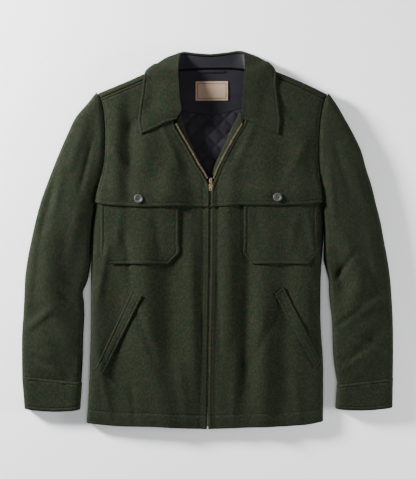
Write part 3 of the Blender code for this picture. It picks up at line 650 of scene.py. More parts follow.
for n, side in SIDES.items():
    print("armhole seam,", n, round(length(smooth(side["armhole"]))), "mm")

# %% [markdown]
# ## Yoke and front
# The yoke is a second layer over the chest. It is sewn in at the shoulder, armhole and zip,
# and its lower edge hangs free as the flap of both pockets, so it rises towards that edge.
# The front goes on beneath it, rolls round the side and is tucked under to the side seam.

# %% Rows of the yoke
def over_pocket(side, x):
    low, high = sorted(side["pocket"][:2])
    return POCKET_LIFT * ease(low - 14, low - 2, x) * (1 - ease(high + 2, high + 14, x))


def yoke_rows(side):
    """Upper front from the shoulder seam to its free edge over the pockets."""
    sign = side["sign"]
    edge = smooth(side["neck"])[:-1] + smooth(side["opening"])
    edge += [Vector((ZIP_CENTRE + sign * 3.4, 112)), Vector((gap_line(100) + sign * EDGE_GAP, 100))]
    edge += [Vector((gap_line(67) + sign * EDGE_GAP, 67))]
    rows = []
    for k, t in enumerate(ROW_STEPS):
        outer = armhole_at(side, t)
        inner = share(edge, t)
        row = []
        for i, u in enumerate(column_steps((inner - outer).length)):
            if k == 0:
                point = shoulder_point(side, u, ROLL + 0.5 + 2 * SEAM)
            else:
                point = outer.lerp(inner, u)
            if i == 0:
                point.x -= sign * SEAM
            bottom = table(side["flap_edge"], point.x)
            if k == len(ROW_STEPS) - 1:
                point.y = bottom
            rise = 1 - ease(bottom + FLAP, bottom + FLAP + FLAP_RAMP, point.y)
            z = height(point.x, point.y) + rise * (WOOL + LAY + over_pocket(side, point.x))
            row.append((point.x, point.y, z))
        rows.append(row)
    return rows


# %% Rows of the front
def tuck_width(y):
    """How far the front reaches under the side, beyond its roll."""
    return table(((ARMPIT - 90, TUCK), (ARMPIT - 6, 0.8)), y)


def front_rows(side):
    """Front from under the yoke to the hem, round the side and tucked beneath."""
    sign = side["sign"]
    below = (120, 150, 180)
    bottom = side_bottom(side)
    rows = []
    for y_side in (FRONT_TOP, 75, *SIDE_ROWS, bottom + 12, bottom):
        v = (FRONT_TOP - y_side) / (FRONT_TOP - bottom)
        x_side = side_edge(side, y_side) if y_side < ARMPIT else armhole_x(side, y_side)
        x_side -= sign * (SEAM if y_side >= ARMPIT - 1 else 0)
        gap = mix(SLIT_GAP, EDGE_GAP, ease(SLIT_TOP - 30, SLIT_TOP, y_side))
        x_middle = gap_line(y_side) + sign * gap
        steps = column_steps(abs(x_side - x_middle))
        row = []
        for u in steps[::-1]:
            x = mix(x_side, x_middle, u)
            y = FRONT_TOP + v * (table(side["hem"], x) - FRONT_TOP)
            level = height(x, y)
            edge_z = seam_top(x_side, y) if y_side > ARMPIT else level / 2
            row.append((x, y, turn(edge_z, level, abs(x_side - x))))
        edge_y, half = row[-1][1:]
        if y_side > ARMPIT + 1:
            row += [None] * (len(below) + 2)
        else:
            turned = ease(ARMPIT, ARMPIT - ROLL, y_side)
            for a in below:
                angle = math.radians(90 + (a - 90) * max(turned, 0.05))
                x = x_side - sign * ROLL * (1 - math.sin(angle))
                row.append((x, edge_y, half * (1 + math.cos(angle))))
            tuck = tuck_width(y_side)
            x, y, z = row[-1]
            row.append((x - sign * tuck / 2, edge_y, z * 0.5 if turned < 1 else 0))
            row.append((x - sign * tuck, edge_y, 0 if turned >= 1 else z * 0.3))
        rows.append(row)
    return rows


print("front:", len(front_rows(SIDES["left"])), "rows")

# %% [markdown]
# ## Back
# The back is one panel. It lies flat on the surface, comes up round the shoulders to the
# seams in front, and is lifted a little at the neck, where the collar lies beneath it.

# %% Rows of the back
def side_seam(side, y):
    """The side seam's place on the underside."""
    return side_edge(side, y) - side["sign"] * (ROLL + tuck_width(y) + 2 * SEAM)


def back_rows():
    """Back on the surface, up round the shoulders to the forward shoulder seams."""
    shoulder = (0, 0.25, 0.5, 0.72, 1.0)
    neck = (0.15, 0.32, 0.5, 0.68, 0.85)
    neck_path = smooth(NECK_SEAM)
    top = [shoulder_point(SIDES["left"], t, ROLL) for t in shoulder]
    top += [share(neck_path, t) for t in neck]
    top += [shoulder_point(SIDES["right"], t, ROLL) for t in shoulder[::-1]]
    columns = len(top)
    fractions = [(p.x - top[0].x) / (top[-1].x - top[0].x) for p in top]
    rows = []
    for angle in (-8, 0, 30, 60, 90, 120, 150):
        row = [None] * columns
        inward = ROLL * (1 - math.sin(math.radians(max(angle, 0)))) + (0.5 if angle < 0 else 0)
        for n, side in SIDES.items():
            for k, t in enumerate(shoulder):
                p = shoulder_point(side, t, inward)
                crest = shoulder_point(side, t, ROLL)
                top_z = height(crest.x, crest.y)
                rise = (1 + math.cos(math.radians(max(angle, 0)))) / 2
                z = mix(back_level(p.x, p.y), top_z, rise)
                if k == 0:
                    p.x -= side["sign"] * SHOULDER_GAP
                row[k if n == "left" else columns - 1 - k] = (p.x, p.y, z)
        rows.append(row)
    rows.append([(p.x, p.y, back_level(p.x, p.y)) for p in top])
    rows[-1][0] = (top[0].x + SHOULDER_GAP, top[0].y, rows[-1][0][2])
    rows[-1][-1] = (top[-1].x - SHOULDER_GAP, top[-1].y, rows[-1][-1][2])
    # Between the armholes: step of the armhole, y in the middle
    for step, middle in ((0.04, 322), (0.08, 302), (0.16, 284), (0.36, 230), (0.57, 180),
                         (0.79, 125), (1.0, 82)):
        ends = [armhole_at(SIDES[n], step) for n in ("left", "right")]
        row = []
        for u in fractions:
            x = mix(ends[0].x + SEAM, ends[1].x - SEAM, u)
            y = mix(mix(ends[0].y, ends[1].y, u), middle, ease(0, 0.3, min(u, 1 - u)))
            row.append((x, y, back_level(x, y)))
        rows.append(row)
    # Between the side seams
    bottom = side_bottom(SIDES["left"])
    for y in (*SIDE_ROWS[2::2], bottom + 2):
        row = []
        for u in fractions:
            x = mix(side_seam(SIDES["left"], y), side_seam(SIDES["right"], y), u)
            rise = HEM_STEP * math.sin(math.pi * u) ** 0.7 if y < SIDE_ROWS[-1] else 0
            row.append((x, y + rise, 0))
        rows.append(row)
    return rows


print("back:", len(back_rows()), "rows")

# %% [markdown]
# ## Sleeves and cuffs
# A sleeve is a tube, so its rows are closed rings. The first follows the armhole seam, and
# the bend of that seam fades out down the arm. The cuff is a band of the same cloth, a
# little prouder than the sleeve that is sewn into it.

# %% Rings of the sleeve
def crown(point, s):
    return height(point.x, point.y) - 2 * ease(0.9, 1, s)


def sleeve_rows(side):
    """Sleeve tube whose first ring is the armhole seam and last the cuff seam."""
    sign = side["sign"]
    outer = smooth(side["outer"])
    inner = smooth(side["inner"])
    armhole = smooth(side["armhole"])
    seam_span = length(armhole)
    chord = [armhole[0], armhole[-1]]
    stations = 16
    rows = []
    for k in range(stations + 1):
        s = k / stations
        a = share(outer, s ** 1.08)
        b = share(inner, s ** 1.25)
        b.x += sign * (1.2 * ease(0.0, 0.08, s) + 0.2)
        keep = 1 - ease(0, 0.42, s)
        span = (b - a).length

        def place(t, near=None):
            """Point of the ring: near its end t, or between the ends by its step t."""
            if near is None:
                w = (ROLL + (span - 2 * ROLL) * t) / span
                q = ROLL + (seam_span - 2 * ROLL) * t
            else:
                w = t + (1 - 2 * t) * near / span
                q = seam_span * t + (1 - 2 * t) * near
            bend = along(armhole, q) - share(chord, q / seam_span)
            point = a.lerp(b, w) + bend * keep
            if k == 0:
                point = along(armhole, q)
                point.x += sign * mix(SHOULDER_GAP, 0.2, ease(0, 2 * ROLL, q))
            return point

        def rolled(end, angle, lower):
            reach = ROLL * (1 - math.sin(math.radians(angle)))
            p = place(end, reach)
            z = turn(crown(p, s) / 2, crown(p, s), reach)
            return (p.x, p.y, crown(p, s) - z if lower else z)

        row = [rolled(0, angle, False) for angle in (90, 60, 30)]
        for t in SLEEVE_STEPS:
            p = place(t)
            puff = SLEEVE_PUFF * ease(0, 0.25, s) * ease(1.0, 0.9, s) * math.sin(math.pi * t)
            row.append((p.x, p.y, crown(p, s) + puff))
        row += [rolled(1, angle, False) for angle in (30, 60, 90)]
        row += [rolled(1, angle, True) for angle in (60, 30)]
        row += [(*place(t), 0) for t in (1.0, 0.66, 0.33, 0.0)]
        row += [rolled(0, angle, True) for angle in (30, 60)]
        rows.append(row)
    return rows


# %% Rings of the cuff
def cuff_rows(side):
    outer_top, outer_end, inner_top, inner_end = [Vector(p) for p in side["cuff"]]
    rows = []
    for k in range(4):
        s = k / 3
        a = outer_top.lerp(outer_end, s)
        b = inner_top.lerp(inner_end, s)
        span = (b - a).length
        row = []
        lows = []
        spots = [ROLL * (1 - math.sin(math.radians(q))) / span for q in (90, 60, 30, 0)]
        spots += [0.25, 0.42, 0.58, 0.75]
        spots += [1 - w for w in spots[:4]][::-1]
        for w in spots:
            p = a.lerp(b, w)
            p.y -= 4 * s * math.sin(math.pi * w)
            reach = span * min(w, 1 - w)
            level = height(p.x, p.y) + 0.6
            row.append((p.x, p.y, turn(level / 2, level, reach)))
            lows.append((p.x, p.y, level - turn(level / 2, level, reach)))
            if reach > ROLL - 0.01:
                lows[-1] = (p.x, p.y, 0)
        row += lows[-2:0:-1]
        rows.append(row)
    return rows


print("sleeve:", len(sleeve_rows(SIDES["left"])), "rings, cuff:", len(cuff_rows(SIDES["left"])), "rings")

# %% [markdown]
# ## Pockets
# A patch pocket is sewn on top of the front, with its lower corners cut off. The lower
# pockets are slits in the front, and only their slanting welts show. Both lie on the front
# at a fixed height over it, so they share its folds.

# %% Rows of the patch pocket and of the slanting welt
def pocket_rows(side):
    """Patch pocket on the front, its lower corners cut off."""
    outer, inner, bottom, corner, cut_outer, cut_inner = side["pocket"]
    sign = side["sign"]
    rows = []
    for y in (80, 72, 58, 36, 14, -8, corner, mix(corner, bottom, 0.5), bottom):
        cut = max(0.0, (corner - y) / (corner - bottom))
        a = outer - sign * cut_outer * cut
        b = inner + sign * cut_inner * cut
        row = []
        for i in range(9):
            x = mix(a, b, i / 8)
            row.append((x, y, front_level(side, x, y) + POCKET_LAY + WOOL))
        rows.append(row)
    return rows


def welt_rows(side):
    a, b, c, d = [Vector(p) for p in side["welt"]]

    def point(down, across):
        p = a.lerp(c, down).lerp(b.lerp(d, down), across)
        return p.x, p.y, front_level(side, p.x, p.y) + POCKET_LAY + WOOL

    return laid_out(10, 4, point)


print("pocket:", len(pocket_rows(SIDES["left"])), "rows, welt:", len(welt_rows(SIDES["left"])), "rows")

# %% [markdown]
# ## Collar
# The collar stands up round the neck and falls outward over the yokes. Its fall is a row of
# sections, each from the fold to the outer edge. At the back it lies flat beneath the neck.
# The inner collar is the dark side of the stand, which faces the neck.

# %% Rows of the collar and of the inner collar
def fall_rows(name):
    """Sections of the collar's fall, each from under the fold to the outer edge."""
    rows = []
    for k, section in enumerate(FALL[name]):
        path = smooth(section, 6)
        row = []
        for p in path[::2]:
            p.z = max(p.z, 0.0)
            if k > 7:
                p.z = max(p.z, height(p.x, p.y) + WOOL + 2.5 * LAY)
            row.append(p)
        rows.append(row)
    return rows


def inner_collar_rows():
    rows = []
    for name in ("left", "right"):
        half = []
        for k, (section, low) in enumerate(zip(FALL[name], STAND[name])):
            fold = Vector(section[0])
            low = Vector(low)
            lean = low - fold
            lean.z = 0
            aside = ease(0, 3, k)
            top = fold + lean.normalized() * mix(3.4, 2.0, aside)
            top.z -= mix(0.5, WOOL + 2.2, aside)
            half.append([tuple(top.lerp(low, t)) for t in (0, 0.33, 0.66, 1)])
        half[-1] = [tuple(Vector(a).lerp(Vector(b), 0.5)) for a, b in zip(half[-2], half[-1])]
        rows.append(half)
    return rows[0][::-1] + rows[1][1:]


print("inner collar:", len(inner_collar_rows()), "rows")

# %% [markdown]
# ## Inside the neck
# The open zip shows the inside of the back: a smooth facing, the quilted lining below it,
# the label and the loop that the jacket hangs by. Each lies on the one before.

# %% Rows inside the neck
def inside_back(x, y, lift):
    return back_level(x, y) + WOOL + INSIDE_LAY + lift


def neck_facing_rows():
    upper = smooth(NECK_SEAM)
    lower = smooth(NECK_FACING)

    def point(down, across):
        p = share(upper, across).lerp(share(lower, across), down)
        p.x = mix(p.x, 5, 0.02)
        p.y -= 1.0 if down == 0 else 0
        return p.x, p.y, inside_back(p.x, p.y, LINING)

    return laid_out(8, 11, point)


def lining_rows():
    upper = smooth(NECK_FACING)

    def point(down, across):
        p = share(upper, across)
        p.y = mix(p.y - SEAM - 0.3, 108, down)
        p.x = mix(p.x, mix(-38, 48, across), down)
        return p.x, p.y, inside_back(p.x, p.y, QUILT)

    return laid_out(7, 9, point)


def label_rows():
    def point(down, across):
        x, y = mix(-26, 42, across), mix(330, 290, down)
        return x, y, inside_back(x, y, LINING) + INSIDE_LAY + 0.6

    return laid_out(6, 5, point)


def hanger_rows():
    def point(down, across):
        x, y = mix(-23, 36, across), 352.5 - 2 * down * 2.2
        lift = LAY + 1.0 + 1.2 * math.sin(math.pi * across)
        return x, y, inside_back(x, y, LINING) + lift

    return laid_out(3, 9, point)


print("neck facing:", len(neck_facing_rows()), "rows, lining:", len(lining_rows()), "rows")

# %% [markdown]
# ## Facings and zip
# Inside the open zip the wool is turned in as a narrow facing. The zip's tapes are sewn
# between it and the front, so the tape's edge and its teeth stand out along the opening.
# Below the slider the two tapes meet in one closed chain.

# %% Rows of the front facing and of the zip tape
def facing_rows(side):
    """Green facing inside the open front, sloping down into the neck."""
    sign = side["sign"]
    inner = smooth(side["facing"])
    outer = smooth(side["opening"])

    def point(down, across):
        a = share(outer, 0.9 * down)
        a.x -= sign * 5.0
        b = share(inner, down)
        z = height(a.x + sign * 7.4, a.y)
        if (a.x - b.x) * sign < 3:
            b.x = a.x - sign * 3
        p = a.lerp(b, across)
        return p.x, p.y, z - WOOL - 4.0 * across ** 1.5

    return laid_out(9, 4, point)


def tape_rows(side):
    sign = side["sign"]
    path = smooth(side["opening"])
    rows = []
    for k in range(13):
        p = share(path, mix(0.02, 0.95, k / 12))
        z = height(p.x + sign * 2, p.y) - 0.2
        rows.append([(p.x - sign * q, p.y, z) for q in (1.2, 3.0, 5.0)])
    return rows


def chain_rows():
    rows = []
    for k in range(17):
        y = mix(104, -388, k / 16)
        x = gap_line(y)
        z = height(x, y) - WOOL - LAY + 0.1
        rows.append([(x - 3, y, z), (x, y, z), (x + 3, y, z)])
    return rows


print("closed zip:", len(chain_rows()), "rows")

# %% [markdown]
# ## Sewn edges
# A real edge is turned in and topstitched, so it is round, it puffs a little between the
# edge and the stitches, and it is pressed down where the thread pulls. One helper gives
# any panel those sewn edges, each with its own distance in millimetres.

# %% Rounded and pressed edges
EDGE_ROUND = 2.4
GROOVE_WIDTH = 1.2
QUILT_STEP = 36.0
QUILT_SWELL = 2.2


def edge_reach(across, down):
    return {"top": down, "bottom": down[-1:] - down, "left": across,
            "right": across[:, -1:] - across}


def sewn(rounding=0.9, depth=0.85, **grooves):
    """Round the named edges, and press a groove at each distance. 0 only rounds."""
    def shape(fine, across, down):
        reach = edge_reach(across, down)
        fade = np.clip((fine[:, :, 2] - 4) / 6, 0, 1)
        for edge, groove in grooves.items():
            d = reach[edge]
            drop = rounding * np.clip(1 - d / EDGE_ROUND, 0, 1) ** 2
            if groove:
                drop = drop + depth * np.exp(-((d - groove) / GROOVE_WIDTH) ** 2)
                drop = drop - 0.4 * np.exp(-((d - groove * 0.55) / (groove * 0.3)) ** 2)
            fine[:, :, 2] -= drop * fade
    return shape


def quilted(fine, across, down):
    """Diamond quilting: padding that swells between two crossing sets of lines."""
    x, y = fine[:, :, 0], fine[:, :, 1]
    first = np.abs(np.sin(math.pi * (x + y) / QUILT_STEP))
    second = np.abs(np.sin(math.pi * (x - y) / QUILT_STEP))
    fine[:, :, 2] += QUILT_SWELL * (np.minimum(first, second) ** 0.6 - 0.55)


print("edges are rounded over", EDGE_ROUND, "mm")

# %% [markdown]
# ## Wool, lining, label, horn and brass
# The cloth is a fulled wool: fibres of several greens, with olive, brown and near-black
# ones among them, over a weave that hardly shows. One node group makes those fibres in
# two sizes, stretched along the cloth by its own chart, and a soft nap on top. Each
# material then adds its own colours, so the green wool and the dark lining share it.

# %% Node helpers
def new_group(name, inputs, outputs):
    """A shader node group with named number inputs and outputs of the given kinds."""
    group = bpy.data.node_groups.new(name, "ShaderNodeTree")
    for label, value in inputs.items():
        socket = group.interface.new_socket(label, in_out="INPUT", socket_type="NodeSocketFloat")
        socket.default_value = value
    for label, kind in outputs.items():
        group.interface.new_socket(label, in_out="OUTPUT", socket_type=kind)
    return group, group.nodes.new("NodeGroupInput"), group.nodes.new("NodeGroupOutput")


def node(tree, kind, links=(), **values):
    """Add a node, set its properties and inputs, and link what is a socket."""
    made = tree.nodes.new("ShaderNode" + kind)
    for key, value in values.items():
        setattr(made, key, value)
    for key, value in dict(links).items():
        if isinstance(value, bpy.types.NodeSocket):
            tree.links.new(value, made.inputs[key])
        else:
            made.inputs[key].default_value = value
    return made


def math_node(tree, operation, a, b=0.5):
    return node(tree, "Math", {0: a, 1: b}, operation=operation).outputs[0]


def blend_colours(tree, factor, a, b):
    made = node(tree, "Mix", {0: factor, 6: a, 7: b}, data_type="RGBA")
    return made.outputs[2]


print("node helpers ready:", node.__name__, math_node.__name__, blend_colours.__name__)

# %% Fibres: flecks, mottling, nap and weave
FLOAT = "NodeSocketFloat"
fibres, given, out = new_group(
    "Fibres", {"Fleck": 700, "Mottle": 60, "Weave": 2600, "Nap": 1.0},
    {"Light": FLOAT, "Dark": FLOAT, "Mottling": FLOAT, "Height": FLOAT},
)
where = fibres.nodes.new("ShaderNodeTexCoord").outputs["Object"]
chart = fibres.nodes.new("ShaderNodeTexCoord").outputs["UV"]
drawn = node(fibres, "Mapping", {"Vector": chart, "Scale": (1, 0.45, 1)}).outputs[0]


def noise(vector, scale, detail, rough=0.5):
    return node(fibres, "TexNoise", {"Vector": vector, "Scale": scale, "Detail": detail,
                                     "Roughness": rough}).outputs["Fac"]


def mask(value, low, high):
    return node(fibres, "MapRange", {"Value": value, "From Min": low, "From Max": high},
                interpolation_type="SMOOTHSTEP").outputs[0]


fleck = noise(drawn, given.outputs["Fleck"], 3, 0.7)
half = math_node(fibres, "MULTIPLY", given.outputs["Fleck"], 0.42)
speck = noise(where, half, 2, 0.6)
broad = noise(where, given.outputs["Mottle"], 3)
ribs = node(fibres, "TexWave", {"Vector": chart, "Scale": math_node(
    fibres, "MULTIPLY", given.outputs["Weave"], 0.1), "Distortion": 1.5, "Detail": 1.0},
    wave_type="BANDS", bands_direction="DIAGONAL").outputs["Fac"]
nap = math_node(fibres, "MULTIPLY", noise(where, 1500, 4, 0.7), given.outputs["Nap"])
relief = math_node(fibres, "ADD", math_node(fibres, "ADD", nap, math_node(
    fibres, "MULTIPLY", ribs, 0.35)), math_node(fibres, "MULTIPLY", speck, 0.8))
fibres.links.new(mask(fleck, 0.45, 0.80), out.inputs["Light"])
fibres.links.new(mask(speck, 0.48, 0.66), out.inputs["Dark"])
fibres.links.new(broad, out.inputs["Mottling"])
fibres.links.new(relief, out.inputs["Height"])
print("node group:", fibres.name, "with", len(fibres.nodes), "nodes")


# %% Cloth materials
def plain(name, colour, roughness, metallic=0.0):
    made = bpy.data.materials.new(name)
    made.use_nodes = True
    shader = made.node_tree.nodes["Principled BSDF"]
    shader.inputs["Base Color"].default_value = (*colour, 1)
    shader.inputs["Roughness"].default_value = roughness
    shader.inputs["Metallic"].default_value = metallic
    return made


def fibre_cloth(name, deep, body, light, warm, sizes, bump, rough, sheen):
    """Cloth of deep and body fibres with light and warm flecks, nap as bump, fuzz as sheen."""
    made = plain(name, body, rough)
    tree = made.node_tree
    shader = tree.nodes["Principled BSDF"]
    group = tree.nodes.new("ShaderNodeGroup")
    group.node_tree = fibres
    for key, value in sizes.items():
        group.inputs[key].default_value = value
    toned = blend_colours(tree, group.outputs["Mottling"], (*deep, 1), (*body, 1))
    flecked = blend_colours(tree, group.outputs["Light"], toned, (*light, 1))
    share_warm = math_node(tree, "MULTIPLY", group.outputs["Dark"], 0.7)
    coloured = blend_colours(tree, share_warm, flecked, (*warm, 1))
    tree.links.new(coloured, shader.inputs["Base Color"])
    raised = node(tree, "Bump", {"Height": group.outputs["Height"], "Strength": bump,
                                 "Distance": 0.0006}).outputs[0]
    tree.links.new(raised, shader.inputs["Normal"])
    shader.inputs["Sheen Weight"].default_value = sheen
    shader.inputs["Sheen Roughness"].default_value = 0.45
    shader.inputs["Sheen Tint"].default_value = (*light, 1)
    shader.inputs["Specular IOR Level"].default_value = 0.1
    return made


wool = fibre_cloth("heathered_wool", (0.0036, 0.0070, 0.0042), (0.0085, 0.0134, 0.0064),
                   (0.024, 0.032, 0.015), (0.021, 0.0150, 0.0085),
                   {"Fleck": 420, "Mottle": 34, "Nap": 1.0}, 0.7, 0.95, 0.03)
dark = fibre_cloth("satin_lining", (0.007, 0.006, 0.009), (0.013, 0.012, 0.016),
                   (0.021, 0.019, 0.025), (0.011, 0.010, 0.013),
                   {"Fleck": 900, "Mottle": 60, "Weave": 5200, "Nap": 0.3}, 0.25, 0.55, 0.05)
thread = fibre_cloth("sewing_thread", (0.012, 0.018, 0.009), (0.022, 0.030, 0.015),
                     (0.04, 0.05, 0.028), (0.02, 0.02, 0.012),
                     {"Fleck": 2200, "Weave": 9000, "Nap": 0.4}, 0.4, 0.7, 0.1)
print("cloth materials:", wool.name, dark.name, thread.name)

# %% Label: a woven tan satin with a plain brown frame, drawn on the label's own chart
tan = fibre_cloth("woven_label", (0.24, 0.17, 0.12), (0.33, 0.24, 0.17),
                  (0.40, 0.30, 0.22), (0.27, 0.18, 0.12),
                  {"Fleck": 1400, "Mottle": 90, "Weave": 8000, "Nap": 0.4}, 0.35, 0.8, 0.1)
LABEL_SIZE = (0.068, 0.040)
tree = tan.node_tree
uv = tree.nodes.new("ShaderNodeTexCoord").outputs["UV"]
parts = node(tree, "SeparateXYZ", {0: uv}).outputs
insides = []
for axis, size in enumerate(LABEL_SIZE):
    centred = math_node(tree, "SUBTRACT", parts[axis], size / 2)
    insides.append(math_node(tree, "SUBTRACT", size / 2, math_node(tree, "ABSOLUTE", centred, 0)))
rim = math_node(tree, "MINIMUM", *insides)
line = math_node(tree, "COMPARE", rim, 0.0045)
line.node.inputs[2].default_value = 0.0007
shader = tree.nodes["Principled BSDF"]
woven = shader.inputs["Base Color"].links[0].from_socket
framed = blend_colours(tree, line, woven, (0.10, 0.06, 0.04, 1))
tree.links.new(framed, shader.inputs["Base Color"])
print("label material:", tan.name, "for", LABEL_SIZE, "m")


# %% Hard finishes: horn and brass, each with cloudy streaks of a darker and a lighter tone
def worn(name, deep, light, scale, rough, metallic):
    made = plain(name, light, rough[0], metallic)
    tree = made.node_tree
    shader = tree.nodes["Principled BSDF"]
    where = tree.nodes.new("ShaderNodeTexCoord").outputs["Object"]
    cloud = node(tree, "TexNoise", {"Vector": where, "Scale": scale, "Detail": 5.0}).outputs["Fac"]
    light_share = node(tree, "MapRange", {"Value": cloud, "From Min": 0.35, "From Max": 0.65})
    clouded = blend_colours(tree, light_share.outputs[0], (*deep, 1), (*light, 1))
    tree.links.new(clouded, shader.inputs["Base Color"])
    gloss = node(tree, "MapRange", {"Value": cloud, "To Min": rough[0], "To Max": rough[1]}).outputs[0]
    tree.links.new(gloss, shader.inputs["Roughness"])
    raised = node(tree, "Bump", {"Height": cloud, "Strength": 0.2, "Distance": 0.0002}).outputs[0]
    tree.links.new(raised, shader.inputs["Normal"])
    return made


horn = worn("cloudy_horn", (0.010, 0.009, 0.010), (0.035, 0.032, 0.034), 260, (0.5, 0.65), 0.0)
brass = worn("aged_brass", (0.10, 0.065, 0.035), (0.34, 0.25, 0.145), 420, (0.35, 0.6), 1.0)
print("hard materials:", horn.name, brass.name)

# %% [markdown]
# ## Lay out the cloth
# Every piece is made once from its rows, rides on the garment and stands for its own solid. The flat
# width, length and area in metres of what shows of each piece, all round on a sleeve or a cuff, are
# printed.

# %% Make the cloth
WOOL_CLOTH = {"wall": WOOL, "look": wool}
HEM_MARKS = (HEM_LINE - 1.5, HEM_LINE, HEM_LINE + 1.5)
cloth("cloth_back", back_rows(), grid=5.0, shape=sewn(top=0, bottom=0), **WOOL_CLOTH)
for n, side in SIDES.items():
    cloth("cloth_yoke_" + n, yoke_rows(side), **WOOL_CLOTH,
          shape=sewn(top=6, bottom=7, left=8, right=7))
    cloth("cloth_front_" + n, front_rows(side), **WOOL_CLOTH, marks=HEM_MARKS,
          shape=sewn(left=7, bottom=HEM_LINE))
    cloth("cloth_sleeve_" + n, sleeve_rows(side), **WOOL_CLOTH, ring=True,
          shape=sewn(top=0, bottom=0))
    cloth("cloth_cuff_" + n, cuff_rows(side), **WOOL_CLOTH, ring=True,
          shape=sewn(top=5, bottom=6))
    cloth("cloth_chest_pocket_" + n, pocket_rows(side), **WOOL_CLOTH,
          shape=sewn(left=7, right=7, bottom=7))
    cloth("cloth_welt_" + n, welt_rows(side), **WOOL_CLOTH,
          shape=sewn(top=4, bottom=4, left=5, right=5), grid=2.0)
    cloth("cloth_facing_" + n, facing_rows(side), **WOOL_CLOTH, follow=False, shape=sewn(right=0))
    cloth("cloth_zip_tape_" + n, tape_rows(side), ZIP_TAPE, dark, follow=False, grid=1.5)
left, right = fall_rows("left"), fall_rows("right")
cloth("cloth_collar", left[::-1] + right[1:], **WOOL_CLOTH, follow=False, even=False,
      shape=sewn(right=6.5, top=6.5, bottom=6.5), grid=2.5)
cloth("cloth_inner_collar", inner_collar_rows(), LINING, dark, follow=False,
      shape=sewn(rounding=0.3, depth=0.3, right=4))
cloth("cloth_neck_facing", neck_facing_rows(), LINING, dark, follow=False,
      shape=sewn(rounding=0.3, depth=0.3, bottom=5))
cloth("cloth_back_lining", lining_rows(), QUILT, dark, follow=False, grid=2.0, shape=quilted,
      even=False)
cloth("cloth_label", label_rows(), 0.8, tan, follow=False, grid=2.0,
      shape=sewn(rounding=0.3, depth=0.2, top=1.5, bottom=1.5, left=1.5, right=1.5))
cloth("cloth_hanger_loop", hanger_rows(), 1.0, dark, follow=False, grid=1.5)
cloth("cloth_zip_chain", chain_rows(), ZIP_TAPE, dark)


def measured(grid, ring):
    """Width, length and area of a fine grid, in metres."""
    edges = grid * MM
    if ring:
        edges = np.concatenate([edges, edges[:, :1]], axis=1)
    a, b, c, d = edges[:-1, :-1], edges[:-1, 1:], edges[1:, 1:], edges[1:, :-1]
    area = 0.5 * np.linalg.norm(np.cross(c - a, d - b), axis=2).sum()
    wide = np.linalg.norm(np.diff(edges, axis=1), axis=2).sum(axis=1).max()
    tall = np.linalg.norm(np.diff(edges, axis=0), axis=2).sum(axis=0).max()
    return round(float(wide), 3), round(float(tall), 3), round(float(area), 4)


for name, made in pieces.items():
    print(name, measured(made["grid"], "sleeve" in name or "cuff" in name))

# %% Ride and replace
for name, made in pieces.items():
    piece = made["object"]
    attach(piece, "garment")
    kind = name.replace("cloth_", "")
    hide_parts(kind)


# %% [markdown]
# ## Stitches
# Sewing thread repeats along a line, so Geometry Nodes do it: a row of points on the cloth
# becomes a curve, the curve is cut at one pitch, and a small rounded stitch is set at each
# cut. The zip's teeth are the same tree with a block in place of the stitch.

# %% Tree that repeats a small shape along lines
def repeat_tree(name, look, block):
    tree = bpy.data.node_groups.new(name, "GeometryNodeTree")
    tree.interface.new_socket("Geometry", in_out="INPUT", socket_type="NodeSocketGeometry")
    for label in ("Pitch", "Length", "Width", "Height"):
        tree.interface.new_socket(label, in_out="INPUT", socket_type="NodeSocketFloat")
    tree.interface.new_socket("Geometry", in_out="OUTPUT", socket_type="NodeSocketGeometry")
    add = tree.nodes.new
    join = tree.links.new
    given, out = add("NodeGroupInput"), add("NodeGroupOutput")
    curve = add("GeometryNodeMeshToCurve")
    cut = add("GeometryNodeResampleCurve")
    cut.mode = "LENGTH"
    seed = add("GeometryNodeMeshCube" if block else "GeometryNodeMeshIcoSphere")
    if block:
        seed.inputs["Size"].default_value = (1, 1, 1)
    else:
        seed.inputs["Radius"].default_value = 0.5
        seed.inputs["Subdivisions"].default_value = 1
    aim = add("FunctionNodeAlignRotationToVector")
    aim.axis = "X"
    size = add("ShaderNodeCombineXYZ")
    place = add("GeometryNodeInstanceOnPoints")
    real = add("GeometryNodeRealizeInstances")
    finish = add("GeometryNodeSetMaterial")
    finish.inputs["Material"].default_value = look
    join(given.outputs["Geometry"], curve.inputs["Mesh"])
    join(curve.outputs["Curve"], cut.inputs["Curve"])
    join(given.outputs["Pitch"], cut.inputs["Length"])
    join(cut.outputs["Curve"], place.inputs["Points"])
    join(seed.outputs["Mesh"], place.inputs["Instance"])
    join(add("GeometryNodeInputTangent").outputs["Tangent"], aim.inputs["Vector"])
    join(aim.outputs["Rotation"], place.inputs["Rotation"])
    for axis, label in zip("XYZ", ("Length", "Width", "Height")):
        join(given.outputs[label], size.inputs[axis])
    join(size.outputs["Vector"], place.inputs["Scale"])
    join(place.outputs["Instances"], real.inputs["Geometry"])
    join(real.outputs["Geometry"], finish.inputs["Geometry"])
    join(finish.outputs["Geometry"], out.inputs["Geometry"])
    return tree


def repeated(name, lines, tree, pitch, size, closed=False):
    """Set a small shape along lines of points in mm, and make it a plain mesh."""
    mesh = bpy.data.meshes.new(name)
    spots, edges = [], []
    for line in lines:
        first = len(spots)
        spots += [tuple(np.asarray(p) * MM) for p in line]
        edges += [(i, i + 1) for i in range(first, len(spots) - 1)]
        if closed:
            edges.append((len(spots) - 1, first))
    mesh.from_pydata(spots, edges, [])
    piece = bpy.data.objects.new(name, mesh)
    bpy.context.scene.collection.objects.link(piece)
    nodes = piece.modifiers.new("Repeat", "NODES")
    nodes.node_group = tree
    values = dict(zip(("Pitch", "Length", "Width", "Height"), (pitch, *size)))
    for item in tree.interface.items_tree:
        if item.in_out == "INPUT" and item.name in values:
            nodes[item.identifier] = values[item.name] * MM
    freeze(piece)
    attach(piece, "garment")
    print(name, "has", len(piece.data.polygons), "faces")
    return piece


